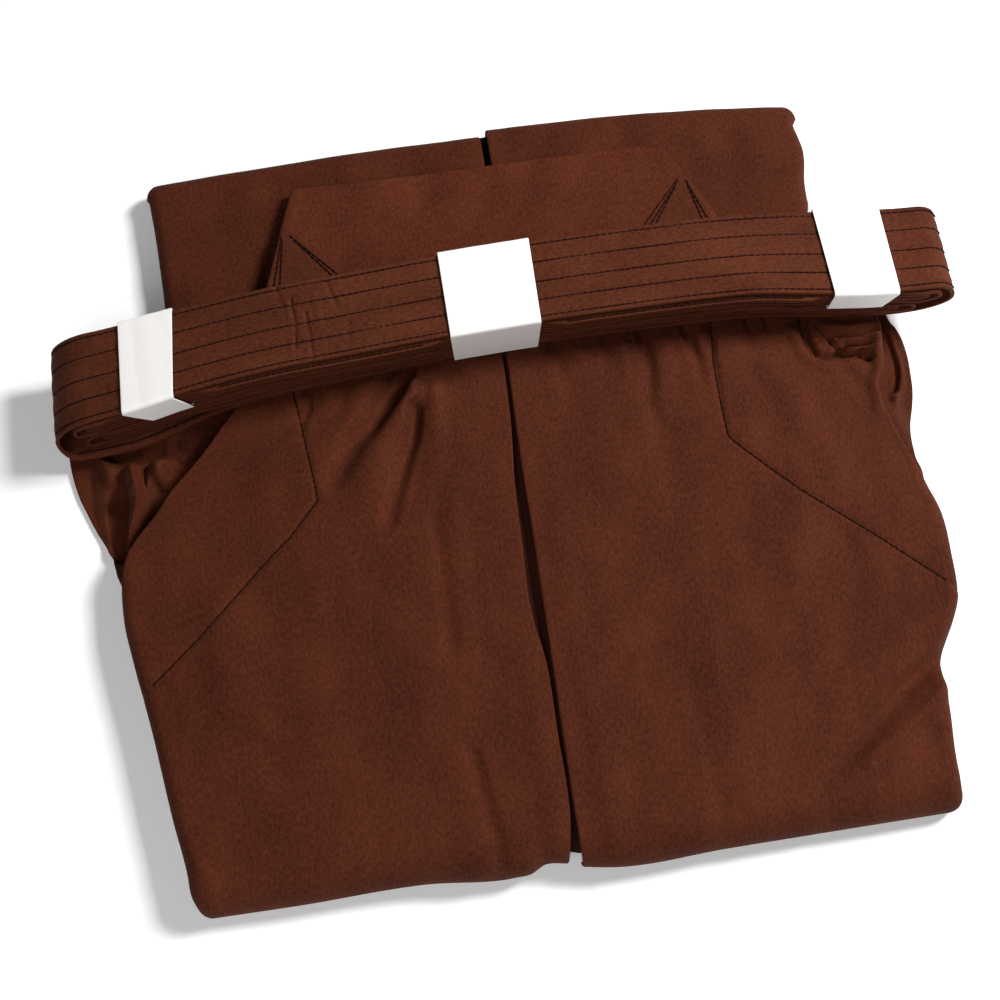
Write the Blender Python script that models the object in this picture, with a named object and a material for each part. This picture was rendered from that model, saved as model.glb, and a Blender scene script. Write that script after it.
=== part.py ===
"""Hakama trousers, folded in three with the back up, and their long belt wound up on the waist.

The garment lies on the floor. X runs across it, Y from the fold nearest the wearer's knees to the
fold at the lower legs, Z up. Lengths in this file are millimetres, and a mesh gets them in metres.

From the floor up: one rounded core for the folded layers that nothing shows; the lower legs, whose
fold makes the far edge; the two front panels, which show at the side openings; the two back
panels, which go round the near edge; the stiff back plate with its two strap ends; and the belt,
a quilted strap wound into a flat bundle that three plain paper bands hold.

Each cloth is a wall made from one surface, moved in by a depth. All layers share the centres of
their folds, so a deeper layer turns on a smaller radius and never meets the one above.
"""

import bpy
import numpy as np

MM = 0.001

# Cloth and the spaces between its layers.
WALL = 2.0
GAP = 0.3
LAYER = WALL + 0.5

# Heights of the folded core: under the panels, and under the lower legs beyond the waist.
STACK_TOP = 19.2
LEGS_TOP = 13.8
CROWN = 3.0
PACK_HALF_WIDTH = 160.0
SIDE_THINNING = 4.3

# Where the cloth turns down: folds at the near and far edge, and the curl of a side edge.
WAIST_Y = 76.0
NEAR_Y = -177.0
NEAR_RADIUS = 14.0
FAR_RADIUS = 8.0
SIDE_RADIUS = 6.0
SIDE_TURN = 75.0
FOLD_TURNS = (0, 22, 45, 68, 90, 115)
SIDE_TURNS = (0, 0.4, 0.75, 1.0)
NEAR_START = NEAR_Y + NEAR_RADIUS

# Side edges of each layer: the back panels, the front panels and the core beneath both.
EDGE_COLUMNS = ("y", "back_left", "front_left", "core_left", "core_right", "front_right", "back_right")
EDGES = (
    (-178, -163, -161, -153, 154, 161, 163.5),
    (-172, -164.5, -163, -156, 155, 161.5, 162.5),
    (-160, -165.5, -164, -158, 155.5, 161, 162.5),
    (-135, -170, -169, -163, 158, 163.5, 165),
    (-112, -173.5, -172.5, -167, 161, 165.5, 167),
    (-102, -175, -174, -169, 165, 170, 172),
    (-85, -178, -177, -171, 172, 178, 180),
    (-64, -182, -181, -174, 173, 180.5, 182.5),
    (-44, -185, -184, -174, 172, 180.5, 182.5),
    (-26, -186.5, -186, -171, 168, 179, 180.5),
    (-12, -184, -189.5, -166, 162, 178.5, 177),
    (4, -168, -196.5, -160, 158, 182, 174),
    (22, -154, -203.5, -157, 156, 187.5, 172),
    (40, -139, -207, -156, 156, 189, 168),
    (54, -127, -207, -156, 156, 187, 163),
    (64, -119, -204, -156, 156, 182, 150),
    (76, -113, -198, -156, 156, 176, 116),
)

# How far short of the near edge's line each leg's fold stays: at the split, at the side. It fades
# out from one y to another.
NEAR_SHIFT = {"left": (1.9, 0.2), "right": (-1.2, 0.8)}
NEAR_SHIFT_FROM_Y = -100.0
NEAR_SHIFT_LENGTH = 60.0

# The split between the legs: the facing edges of the left and the right back panel.
SPLIT_MIDDLE = -3.8
SPLIT_COLUMNS = ("y", "left", "right")
SPLIT = (
    (-177, -5.0, -2.6),
    (-125, -4.6, -2.4),
    (-86, -5.0, -2.2),
    (-72, -6.4, -2.2),
    (-34, -6.6, -2.0),
    (-6, -5.6, -2.2),
    (23, -3.6, -1.6),
    (54, -2.6, -1.0),
    (76, -2.4, -1.0),
)

# Lower legs: their side edges, and how far out their fold reaches as points (x, y).
LEG_EDGE_COLUMNS = ("y", "left", "right")
LEG_EDGES = (
    (79, -157, 156),
    (110, -157, 157),
    (135, -158, 158),
    (152, -159, 161),
    (168, -160.5, 159),
    (182, -162, 162),
)
LEFT_LEG_END = ((-161, 178), (-115, 180.2), (-56, 182.2), (5, 182.8))
RIGHT_LEG_END = ((6, 186.2), (84, 185.2), (130, 182.2), (161, 179.2))
LEG_SPLIT = (4.2, 6.4)
LEG_SPLIT_MIDDLE = 5.3
LEG_FLAT_ROWS = (80.5, 95.0, 112.0, 130.0, 148.0, 162.0)
LEG_END_ROW = 178.0
LEG_PLACES = 11

# The folded core: how many layers its sides show, and the notch at each end where the legs part.
CORE_LAYERS = 4
CORE_SHOULDER = 1.6
CORE_FOOT = 2.5
GROOVE = 1.6
NOTCH = 13.0
NOTCH_HALF = 2.4
SPLIT_PLACES = tuple(
    middle + off for middle in (SPLIT_MIDDLE, LEG_SPLIT_MIDDLE) for off in (-NOTCH_HALF, 0, NOTCH_HALF)
)

# Rows of the back panels from the waist to the near fold, and places across each.
BACK_ROWS = (
    *(76, 66, 56, 46, 36, 26, 16, 6, -4, -14, -24, -34, -44, -55),
    *(-66, -78, -90, -102, -112, -124, -137, -150, NEAR_START),
)
BACK_COLUMNS = 16

# Soft creases and swellings raised on the back panels, each from one point to another:
# x, y, x, y, half width at each end, height at each end.
CREASES = {
    "left": (
        (-47, 72, -84, 8, 5, 10, 1.5, 0.3),
        (-38, 72, -63, -20, 5, 9, 1.2, 0.2),
        (-98, 70, -104, 30, 5, 8, 1.0, 0.2),
        (-140, -60, -150, -120, 14, 12, 0.7, 0.3),
        (-20, -60, -14, -170, 8, 8, 0.6, 0.9),
        (-96, 0, -60, -110, 16, 20, 0.5, 0.4),
    ),
    "right": (
        (67, 72, 64, 33, 5, 7, 1.1, 0.2),
        (88, 70, 91, 16, 5, 8, 1.3, 0.2),
        (30, 72, 36, 10, 8, 12, 0.8, 0.2),
        (166, -112, 148, -138, 7, 9, 1.4, 0.6),
        (176, -92, 112, -140, 12, 16, 1.3, 0.4),
        (10, -20, 14, -168, 9, 10, 0.8, 0.9),
        (120, -20, 96, -110, 18, 20, 0.6, 0.3),
    ),
}

# How far the front panels fall to the floor beside the pack, at most this share of the way out, and
# from where to where along the side. Then the folds on the way: where each lies as a share of the
# way out, its half width in shares, and its depth in millimetres.
FRONT_FALL = 13.6
FRONT_STEEPNESS = 0.45
FRONT_FALL_FROM_Y = -34.0
FRONT_FALL_LENGTH = 26.0
FRONT_FOLDS = {
    "left": ((0.17, 0.13, 5.0), (0.36, 0.13, -3.0), (0.60, 0.14, 3.4), (0.88, 0.14, -1.6)),
    "right": ((0.55, 0.24, 3.5), (0.88, 0.16, -3.4)),
}
FRONT_ROWS = (
    *(76, 64, 54, 44, 34, 24, 14, 4, -6),
    *(-16, -28, -44, -64, -85, -102, -112, -135, NEAR_START),
)
FRONT_SHARES = (0, 0.3, 0.58, 0.68, 0.78, 0.88)
FRONT_PLACES = 11

# Stiff back plate: its side edges and its top edge, and how it slopes from the waist.
PLATE_THICK = 3.0
PLATE_COLUMNS = ("y", "left", "right")
PLATE_EDGES = (
    (76.4, -116, 118),
    (107, -107, 110),
    (117, -103.5, 108.5),
    (137, -96.8, 100.5),
    (161, -89, 89),
)
PLATE_ROWS = (0, 0.12, 0.25, 0.4, 0.55, 0.7, 0.85, 0.95, 1.0)
PLATE_PLACES = 15
PLATE_TOP_LEFT_Y = 158.0
PLATE_TOP_RIGHT_Y = 161.0
PLATE_CORNER = 2.5
PLATE_CORNER_SHARE = 0.07
PLATE_WAIST_Z = 24.2
PLATE_TOP_Z = 19.9
PLATE_LEFT_LIFT = 3.2
PLATE_LIFT_FROM_X = -20.0
PLATE_LIFT_LENGTH = 80.0
PLATE_LIFT_BY = 0.7

# Strap ends sewn on the plate: name, apex x and y, then x of the outer and the inner corner, and
# the y where both go under the belt.
STRAP_END_THICK = 1.6
STRAP_TIP_SHARE = 0.04
STRAP_ENDS = (
    ("strap_end_left", -96.6, 135.5, -111.0, -56.0, 93.0),
    ("strap_end_right", 97.2, 141.5, 114.5, 57.0, 95.0),
)

# The wound belt: its centre line and the height of its underside, then the strap itself.
BELT_COLUMNS = ("x", "centre_y", "under_z", "width")
BELT = (
    (-209.5, 64.4, 8.0, 45.5),
    (-172, 66.4, 13.8, 43.5),
    (-150, 68.6, 17.4, 42),
    (-127, 70.0, 21.4, 41),
    (-104, 71.2, 24.4, 41),
    (-80, 72.4, 25.4, 41),
    (-26, 76.0, 25.4, 41),
    (20, 77.8, 25.4, 41),
    (67, 78.4, 25.4, 41),
    (92, 78.3, 25.3, 41),
    (112, 78.0, 24.4, 41),
    (132, 77.6, 22.3, 41),
    (150, 77.0, 19.9, 41),
    (167, 76.4, 17.6, 42),
    (188, 76.2, 14.8, 42),
    (209.5, 76.6, 13.6, 42),
)
BELT_HEIGHT = 28.0
STRAP_THICK = 2.6
TURN_GROOVE = 0.06

# The lower turns have slid towards the near side at the left end, more and more from one x on.
FAN_OUT = 6.5
FAN_FROM_X = -70.0
FAN_LENGTH = 110.0

# Turns inside the outermost one, in two groups with room between for a paper band: name, how far
# the group's underside and top lie above the belt's, number of turns, how far inside its ends stay.
TURN_GROUPS = (
    ("belt_turns_lower", 2.9, 12.9, 4, 9.0),
    ("belt_turns_upper", 14.6, 25.1, 4, 6.0),
)
TURN_BENDS = (80, 50, 0)
END_TURNS = (-90, -60, -30, 0, 30, 60, 90)

# Stitched rows along the strap, measured from its middle, and the swelling between them.
STITCH_ROWS = (-18.2, -9.4, 0.0, 9.4, 18.2)
ROW_SPACING = 9.4
ROW_TO_EDGE = 2.3
CHANNEL_RISE = 0.5
EDGE_ROUND = 0.9

# Paper bands round the belt: name, the x where each starts and ends at the far side, the same at
# the near side, and how far above the belt's underside it passes under.
PAPER = 0.6
BAND_CLEAR = 0.45
BANDS = (
    ("paper_band_left", -173.0, -149.0, -168.5, -142.5, 14.4),
    ("paper_band_middle", -26.5, 15.0, -25.5, 14.0, 0.0),
    ("paper_band_right", 147.5, 179.0, 145.5, 175.0, 14.4),
)

# The right band's loose end, which curls up behind the belt: x at its two sides, y and z.
TAIL_ACROSS = 4
PAPER_TAIL = (
    (148.0, 178.5, 99.2, 33.0),
    (148.0, 176.0, 101.8, 37.5),
    (148.5, 170.0, 106.0, 41.5),
    (149.0, 163.5, 111.5, 44.0),
)

RUSSET = (0.104, 0.022, 0.011)
DARK_RUSSET = (0.067, 0.014, 0.008)
PAPER_WHITE = (0.9, 0.89, 0.86)


def through(where, xs, ys):
    """Smooth curve through points with rising xs: cubic pieces that share their slopes."""
    xs, ys = np.asarray(xs, float), np.asarray(ys, float)
    slopes = np.gradient(ys, xs)
    where = np.clip(where, xs[0], xs[-1])
    i = np.clip(np.searchsorted(xs, where, side="right") - 1, 0, len(xs) - 2)
    step = xs[i + 1] - xs[i]
    t = (where - xs[i]) / step
    ends = ys[i] * (1 + 2 * t) * (1 - t) ** 2 + ys[i + 1] * t * t * (3 - 2 * t)
    return ends + step * (slopes[i] * t * (1 - t) ** 2 - slopes[i + 1] * t * t * (1 - t))


def column(table, columns, name, where):
    """A named column of a table, read smoothly at values of its first column."""
    rows = np.asarray(table, float)
    return through(where, rows[:, 0], rows[:, columns.index(name)])


def ease(t):
    """From 0 to 1 with level ends."""
    t = np.clip(t, 0, 1)
    return t * t * (3 - 2 * t)


def swell(t):
    """A round hump: 1 at 0, falling to 0 at -1 and 1."""
    return np.where(np.abs(t) < 1, np.cos(np.pi * np.clip(t, -1, 1) / 2) ** 2, 0)


def edge(name, y):
    return column(EDGES, EDGE_COLUMNS, name, y)


def crown(x):
    """How far the pile has fallen away at x from its height along the middle."""
    return CROWN * (x / PACK_HALF_WIDTH) ** 2


def stack_top(x, y):
    """Top of the core under the panels. Beside the waist only a few layers lie, so it is thinner."""
    thin = ease((np.abs(x) - 95) / 60) * ease((y + 45) / 85)
    return STACK_TOP - crown(x) - SIDE_THINNING * thin


def legs_top(x):
    """Top of the core under the lower legs."""
    return LEGS_TOP - crown(x) / 2


def creases(side, x, y):
    """Sum of the soft creases of one back panel, as a height over its plain surface."""
    total = np.zeros(np.broadcast(x, y).shape)
    for x0, y0, x1, y1, half0, half1, rise0, rise1 in CREASES[side]:
        along = np.array((x1 - x0, y1 - y0))
        length = np.hypot(*along)
        t = ((x - x0) * along[0] + (y - y0) * along[1]) / length**2
        off = ((x - x0) * along[1] - (y - y0) * along[0]) / length
        inside = np.clip(t, 0, 1)
        beyond = (t - inside) * length
        half = half0 + (half1 - half0) * inside
        rise = rise0 + (rise1 - rise0) * inside
        total += rise * swell(np.hypot(off, beyond) / half)
    return total


def make_node(name, points, faces, colour, roughness=0.85):
    """A mesh object with one plain material, from points in millimetres."""
    mesh = bpy.data.meshes.new(name)
    mesh.from_pydata((np.asarray(points) * MM).tolist(), [], faces)
    mesh.shade_smooth()
    mesh.set_sharp_from_angle(angle=np.radians(50))
    node = bpy.data.objects.new(name, mesh)
    bpy.context.scene.collection.objects.link(node)
    cloth = bpy.data.materials.new(name)
    cloth.use_nodes = True
    shader = cloth.node_tree.nodes["Principled BSDF"]
    shader.inputs["Base Color"].default_value = (*colour, 1)
    shader.inputs["Roughness"].default_value = roughness
    mesh.materials.append(cloth)
    return node


def grid_faces(rows, columns, first=0):
    """Quads of a grid of points stored row by row, seen from its outer side."""
    quads = []
    for i in range(rows - 1):
        for j in range(columns - 1):
            a = first + i * columns + j
            quads.append((a, a + columns, a + columns + 1, a + 1))
    return quads


def make_wall(name, outer, inner, colour, flip=False):
    """A closed wall between two grids of the same size, with a rim round their edges."""
    rows, columns = outer.shape[:2]
    count = rows * columns
    rim = [j for j in range(columns)]
    rim += [i * columns + columns - 1 for i in range(1, rows)]
    rim += [(rows - 1) * columns + j for j in range(columns - 2, -1, -1)]
    rim += [i * columns for i in range(rows - 2, 0, -1)]
    faces = grid_faces(rows, columns)
    faces += [face[::-1] for face in grid_faces(rows, columns, count)]
    faces += [(a, b, b + count, a + count) for a, b in zip(rim, rim[1:] + rim[:1])]
    if flip:
        faces = [face[::-1] for face in faces]
    points = np.concatenate([outer.reshape(-1, 3), inner.reshape(-1, 3)])
    return make_node(name, points, faces, colour)


def make_loft(name, sections, colour):
    """A closed body through loops of points, with a flat cap on its first and last loop."""
    count, size = sections.shape[:2]
    faces = []
    for i in range(count - 1):
        for j in range(size):
            a, b = i * size + j, i * size + (j + 1) % size
            faces.append((a, b, b + size, a + size))
    faces.append(tuple(range(size))[::-1])
    faces.append(tuple((count - 1) * size + j for j in range(size)))
    return make_node(name, sections.reshape(-1, 3), faces, colour)


def panel_rows(flat_ys):
    """Flat rows from the waist to the near fold, then the rows that go round it: y and turn."""
    turns = np.radians(FOLD_TURNS[1:])
    ys = np.concatenate([flat_ys, np.full(len(turns), NEAR_START)])
    return ys[:, None], np.concatenate([np.zeros(len(flat_ys)), turns])[:, None]


def near_shift(x, y):
    """How far the near fold is drawn in at x, fading out away from it."""
    out = np.abs(x - SPLIT_MIDDLE) / PACK_HALF_WIDTH
    left, right = (at_split + (at_side - at_split) * out for at_split, at_side in NEAR_SHIFT.values())
    return np.where(x < SPLIT_MIDDLE, left, right) * ease((NEAR_SHIFT_FROM_Y - y) / NEAR_SHIFT_LENGTH)


def round_near_fold(x, y, turn, depth):
    """Points at a depth under the back panels' plain surface, turned about the near fold's centre."""
    reach = NEAR_RADIUS - depth
    z = stack_top(x, y) + 2 * LAYER - NEAR_RADIUS + reach * np.cos(turn)
    return np.stack(np.broadcast_arrays(x, y + near_shift(x, y) - reach * np.sin(turn), z), axis=-1)


def panel_across(inner_x, outer_x, turned, depth, sign, flat):
    """Places across a panel: flat shares, then the curl of its side edge, as x and depth."""
    curl = np.radians(SIDE_TURN * turned) * np.asarray(SIDE_TURNS)[None, :]
    centre = outer_x - sign * SIDE_RADIUS * np.sin(curl[:, -1:])
    reach = SIDE_RADIUS - depth
    x = inner_x + (centre - inner_x) * np.asarray(flat)[None, :]
    curled_x = centre + sign * reach * np.sin(curl[:, 1:])
    deep = np.concatenate([np.full(x.shape, depth), SIDE_RADIUS - reach * np.cos(curl[:, 1:])], axis=1)
    return np.concatenate([x, curled_x], axis=1), deep


def back_panel(side, sign):
    """One back leg panel, from the waist over the top and round the near edge, with its creases."""
    ys, turn = panel_rows(np.array(BACK_ROWS))
    level = ys - NEAR_RADIUS * np.sin(turn)
    outer_x = edge("back_" + side, level)
    inner_x = column(SPLIT, SPLIT_COLUMNS, side, level)
    turned = 0.1 + 0.9 * ease((-14 - ys) / 22)
    flat = np.linspace(0, 1, BACK_COLUMNS)
    sheets = []
    for depth in (0.0, WALL):
        x, deep = panel_across(inner_x, outer_x, turned, depth, sign, flat)
        if depth == 0:
            deep = deep - creases(side, x, ys) * np.cos(np.clip(turn, 0, np.pi / 2))
        sheets.append(round_near_fold(x, ys, turn, deep))
    make_wall("back_panel_" + side, *sheets, RUSSET, flip=sign < 0)


def front_drape(side, sign, x, y):
    """How far a front panel has sunk beyond the core: it hangs to the floor and crumples on the way."""
    core, hem = edge("core_" + side, y), edge("front_" + side, y)
    width = np.abs(hem - core)
    t = sign * (x - core) / width
    fall = np.minimum(FRONT_FALL, FRONT_STEEPNESS * width)
    fall = fall * ease((y - FRONT_FALL_FROM_Y) / FRONT_FALL_LENGTH)
    folds = sum(depth * swell((t - at) / half) for at, half, depth in FRONT_FOLDS[side])
    return np.minimum(fall * (ease(t) + folds / FRONT_FALL), stack_top(x, y))


def front_panel(side, sign):
    """One front leg panel, under the back panel and out past it at the side opening."""
    ys, turn = panel_rows(np.array(FRONT_ROWS))
    keep = turn[:, 0] <= np.radians(90)
    ys, turn = ys[keep], turn[keep]
    level = ys - NEAR_RADIUS * np.sin(turn)
    outer_x = edge("front_" + side, level)
    core_x = edge("core_" + side, level)
    inner_x = column(SPLIT, SPLIT_COLUMNS, side, level) + sign * 0.6
    turned = 0.1 + 0.9 * ease((-20 - ys) / 22)
    inward = np.array(FRONT_SHARES)
    past = np.linspace(0, 1, FRONT_PLACES)
    sheets = []
    for depth in (LAYER, LAYER + WALL):
        x, deep = panel_across(inner_x, outer_x, turned, depth, sign, (0, 1))
        over_core = inner_x + (core_x - inner_x) * inward[None, :]
        past_core = core_x + (x[:, 1:2] - core_x) * past[None, :]
        wide = np.concatenate([over_core, past_core, x[:, 2:]], axis=1)
        drop = np.concatenate([np.full((len(ys), len(inward) + len(past)), depth), deep[:, 2:]], axis=1)
        drop = drop + front_drape(side, sign, wide, ys)
        sheets.append(round_near_fold(wide, ys, turn, drop))
    make_wall("front_panel_" + side, *sheets, DARK_RUSSET, flip=sign < 0)


def lower_leg(side, sign, end):
    """One lower leg: flat from under the belt to the far fold, then down round it."""
    flat_count = len(LEG_FLAT_ROWS)
    rows = [(y, 0.0) for y in LEG_FLAT_ROWS]
    rows += [(LEG_END_ROW, np.radians(turn)) for turn in FOLD_TURNS]
    split = LEG_SPLIT[LEG_EDGE_COLUMNS.index(side) - 1]
    side_x = column(LEG_EDGES, LEG_EDGE_COLUMNS, side, [y for y, _ in rows])
    sheets = []
    flat, turned = np.linspace(0, 1, LEG_PLACES), np.ones((len(rows), 1))
    turn = np.array([turn for _, turn in rows])[:, None]
    for depth in (0.0, WALL):
        x, deep = panel_across(split, side_x[:, None], turned, depth, sign, flat)
        y = through(x, *np.transpose(end)) - FAR_RADIUS
        y[:flat_count] = np.array(LEG_FLAT_ROWS)[:, None]
        reach = FAR_RADIUS - deep
        z = legs_top(x) + LAYER - FAR_RADIUS + reach * np.cos(turn)
        sheets.append(np.stack([x, y + reach * np.sin(turn), z], axis=-1)[::-1])
    make_wall("lower_leg_" + side, *sheets, RUSSET, flip=sign < 0)


def core_columns(left, right):
    """Places across the core's top, close together where its sides thin and at the two splits."""
    middle = [-125, -110, -92, -60, -30, *SPLIT_PLACES, 30, 60, 92, 110, 125]
    beside = [left + (-125 - left) * share for share in (0, 1 / 3, 2 / 3)]
    return np.array(beside + middle + [right - (right - 125) * share for share in (2 / 3, 1 / 3, 0)])


def side_layers(x, sign, low, high):
    """Points up one side of the core, from its underside to its shoulder: bulging layers, grooves between."""
    height = high - low
    points = [(x - sign * CORE_FOOT, low)]
    for layer in range(CORE_LAYERS):
        base = low + height * layer / CORE_LAYERS
        points.append((x, base + height * 0.3 / CORE_LAYERS))
        points.append((x, base + height * 0.7 / CORE_LAYERS))
        if layer < CORE_LAYERS - 1:
            groove = min(GROOVE, 0.12 * height)
            points.append((x - sign * groove, base + height / CORE_LAYERS))
    return points


def core_section(y, near_turn=None, far_turn=None):
    """A loop round the core at one place along it, seen from the near side: bottom, right, top, left."""
    if far_turn is not None:
        left, right = (column(LEG_EDGES, LEG_EDGE_COLUMNS, side, LEG_END_ROW) for side in ("left", "right"))
    elif y > WAIST_Y:
        left, right = (column(LEG_EDGES, LEG_EDGE_COLUMNS, side, y) for side in ("left", "right"))
    else:
        level = y - (NEAR_RADIUS - 2 * LAYER) * np.sin(near_turn or 0.0)
        left, right = edge("core_left", level), edge("core_right", level)
    if y > WAIST_Y:
        left, right = left + 2 * LAYER, right - 2 * LAYER
    top_x = core_columns(left + CORE_SHOULDER, right - CORE_SHOULDER)
    bottom_x = np.array([left + CORE_FOOT + 1, *SPLIT_PLACES, right - CORE_FOOT - 1])
    reach = FAR_RADIUS - LAYER if y > WAIST_Y else NEAR_RADIUS - 2 * LAYER
    turn = near_turn or far_turn or 0.0
    top, bottom = (legs_top(x) if y > WAIST_Y else stack_top(x, y) for x in (top_x, bottom_x))
    top_z = top - reach + reach * np.cos(turn)
    bottom_z = (bottom - reach) * (1 - np.cos(turn))
    right_side = side_layers(right, 1, bottom_z[-1], top_z[-1])
    left_side = side_layers(left, -1, bottom_z[0], top_z[0])[::-1]
    loop = np.array(
        list(zip(bottom_x, bottom_z)) + right_side + list(zip(top_x, top_z))[::-1] + left_side
    )
    x = loop[:, 0]
    place = np.full(len(x), float(y))
    if far_turn is not None:
        ends = [through(x, *np.transpose(end)) for end in (LEFT_LEG_END, RIGHT_LEG_END)]
        place = np.where(x < LEG_SPLIT_MIDDLE, *ends) - FAR_RADIUS + reach * np.sin(turn)
        place -= NOTCH * swell((x - LEG_SPLIT_MIDDLE) / NOTCH_HALF)
    elif y < WAIST_Y:
        place += near_shift(x, y) - reach * np.sin(turn)
    if near_turn is not None:
        place += NOTCH * swell((x - SPLIT_MIDDLE) / NOTCH_HALF)
    return np.stack([loop[:, 0], place, loop[:, 1]], axis=-1)[::-1]


def folded_core():
    """The rounded solid of all the folded layers that nothing shows."""
    near = [core_section(NEAR_START, near_turn=np.radians(turn)) for turn in (85, 66, 44, 22, 0)]
    under_panels = [core_section(y) for y in (-140, -112, -85, -62, -42, -25, -8, 8, 24, 40, 56, 73.5)]
    under_legs = [core_section(y) for y in (79.2, 100, 130, 152)]
    far = [core_section(180, far_turn=np.radians(turn)) for turn in (0, 22, 44, 66, 85)]
    make_loft("folded_layers", np.array(near + under_panels + under_legs + far), DARK_RUSSET)


def plate_edges(y):
    return (column(PLATE_EDGES, PLATE_COLUMNS, side, y) for side in ("left", "right"))


def plate_surface(x, y):
    """Top of the stiff plate: it slopes from the waist down to the legs, and its left side stands up."""
    along = (y - WAIST_Y) / (PLATE_TOP_RIGHT_Y - WAIST_Y)
    fall = PLATE_WAIST_Z + (PLATE_TOP_Z - PLATE_WAIST_Z) * along - crown(x) * (1 - along / 2)
    outward = ease((PLATE_LIFT_FROM_X - x) / PLATE_LIFT_LENGTH)
    return fall + PLATE_LEFT_LIFT * outward * ease(along / PLATE_LIFT_BY)


def back_plate():
    """The stiff trapezium over the waist, of board covered in cloth, with one rounded corner."""
    share = np.linspace(0, 1, PLATE_PLACES)[None, :]
    along = np.array(PLATE_ROWS)[:, None]
    top = PLATE_TOP_LEFT_Y + (PLATE_TOP_RIGHT_Y - PLATE_TOP_LEFT_Y) * share
    top = top - PLATE_CORNER * ease((share - 1 + PLATE_CORNER_SHARE) / PLATE_CORNER_SHARE)
    y = PLATE_EDGES[0][0] + (top - PLATE_EDGES[0][0]) * along
    left, right = plate_edges(y)
    x = left + (right - left) * share
    z = plate_surface(x, y)
    outer = np.stack([x, y, z], axis=-1)
    inner = np.stack([x, y, z - PLATE_THICK], axis=-1)
    make_wall("back_plate", outer[::-1], inner[::-1], RUSSET)


def strap_end(name, apex_x, apex_y, outer_x, inner_x, base_y):
    """A strap's end sewn on the plate: a triangle made from the plate's points, moved out."""
    along = np.linspace(STRAP_TIP_SHARE, 1, 7)[:, None]
    share = np.linspace(0, 1, 5)[None, :]
    y = apex_y + (base_y - apex_y) * along + 0 * share
    x = apex_x + ((outer_x - apex_x) * share + (inner_x - apex_x) * (1 - share)) * along
    lift = plate_surface(x, y) + GAP
    outer = np.stack([x, y, lift + STRAP_END_THICK], axis=-1)
    inner = np.stack([x, y, lift], axis=-1)
    make_wall(name, outer, inner, RUSSET, flip=outer_x < inner_x)


def belt(name, x):
    return column(BELT, BELT_COLUMNS, name, x)


def strap_channels(across):
    """The strap swells between its stitched rows and is drawn in along them and at its edges."""
    from_row = np.abs(across[..., None] - np.asarray(STITCH_ROWS)).min(axis=-1)
    return CHANNEL_RISE * np.sqrt(np.clip(2 * from_row / ROW_SPACING, 0, 1))


def strap_sheet(x, up, across, low=0.0):
    """Points of a strap: along the bundle, up from its underside, and across from -1 to 1.

    Low is 1 in the lowest layer and 0 in the top one: the low layers fan out at the left end.
    """
    fan = FAN_OUT * low * ease((FAN_FROM_X - x) / FAN_LENGTH)
    y = belt("centre_y", x) + across * belt("width", x) / 2 - fan
    return np.stack(np.broadcast_arrays(x, y, belt("under_z", x) + up), axis=-1)


def belt_top():
    """The outermost turn: over the top of the bundle and down round both of its ends."""
    left, right = BELT[0][0], BELT[-1][0]
    radius = BELT_HEIGHT / 2
    turns = np.radians(END_TURNS)
    straight = np.array([row[0] for row in BELT[1:-1]])
    between = (np.array(STITCH_ROWS[1:]) + np.array(STITCH_ROWS[:-1])) / 2
    half = STITCH_ROWS[-1] + ROW_TO_EDGE
    rims = (-half, EDGE_ROUND - half, half - EDGE_ROUND, half)
    across = np.sort(np.concatenate([STITCH_ROWS, between, rims]))
    ends = [np.full(len(turns), x) for x in (left + radius, right - radius)]
    centre = np.concatenate([ends[0], straight, ends[1]])[:, None]
    out = np.concatenate([-np.cos(turns), 0 * straight, np.cos(turns)])[:, None]
    lift = np.concatenate([np.sin(turns), 1 + 0 * straight, np.sin(turns[::-1])])[:, None]
    sheets = []
    for depth in (0.0, STRAP_THICK):
        reach = radius - depth
        if depth == 0:
            reach = reach + strap_channels(across)[None, :] - CHANNEL_RISE
        share = np.broadcast_to(across / half, (len(centre), len(across)))
        sheets.append(strap_sheet(centre + out * reach, radius + lift * reach, share, (1 - lift) / 2))
    make_wall("belt_top", *sheets, RUSSET)


def belt_bottom():
    """The stretch of the outermost turn that lies on the waist."""
    radius = BELT_HEIGHT / 2
    left, right = BELT[0][0] + radius + GAP, BELT[-1][0] - radius - GAP
    x = np.array([left, *[row[0] for row in BELT[1:-1]], right])[:, None]
    across = np.array((-1, 0, 1.0))[None, :]
    sheets = [strap_sheet(x, up, across, 1.0) for up in (STRAP_THICK, 0.0)]
    make_wall("belt_bottom", *sheets, RUSSET)


def belt_turns(name, low, high, turns, end_hollow):
    """Inner turns: a body whose two long sides are grooved between the edges of the turns."""
    radius = (high - low) / 2
    hollow = STRAP_THICK + end_hollow
    left, right = BELT[0][0] + hollow + radius, BELT[-1][0] - hollow - radius
    bends = np.radians(TURN_BENDS)
    stations = [(left - radius * np.sin(bend), np.cos(bend)) for bend in bends]
    stations += [(row[0], 1.0) for row in BELT if left < row[0] < right]
    stations += [(right + radius * np.sin(bend), np.cos(bend)) for bend in bends[::-1]]
    steps = np.arange(2 * turns + 1) / turns - 1
    sections = []
    for x, share in stations:
        inset = 1 - TURN_GROOVE * share * (np.arange(2 * turns + 1) % 2 == 0)
        across = np.concatenate([-inset[::-1], inset])
        up = low + radius + radius * share * np.concatenate([steps[::-1], steps])
        sections.append(strap_sheet(np.full(len(across), x), up, across, 1 - up / BELT_HEIGHT))
    make_loft(name, np.array(sections), DARK_RUSSET)


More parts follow.
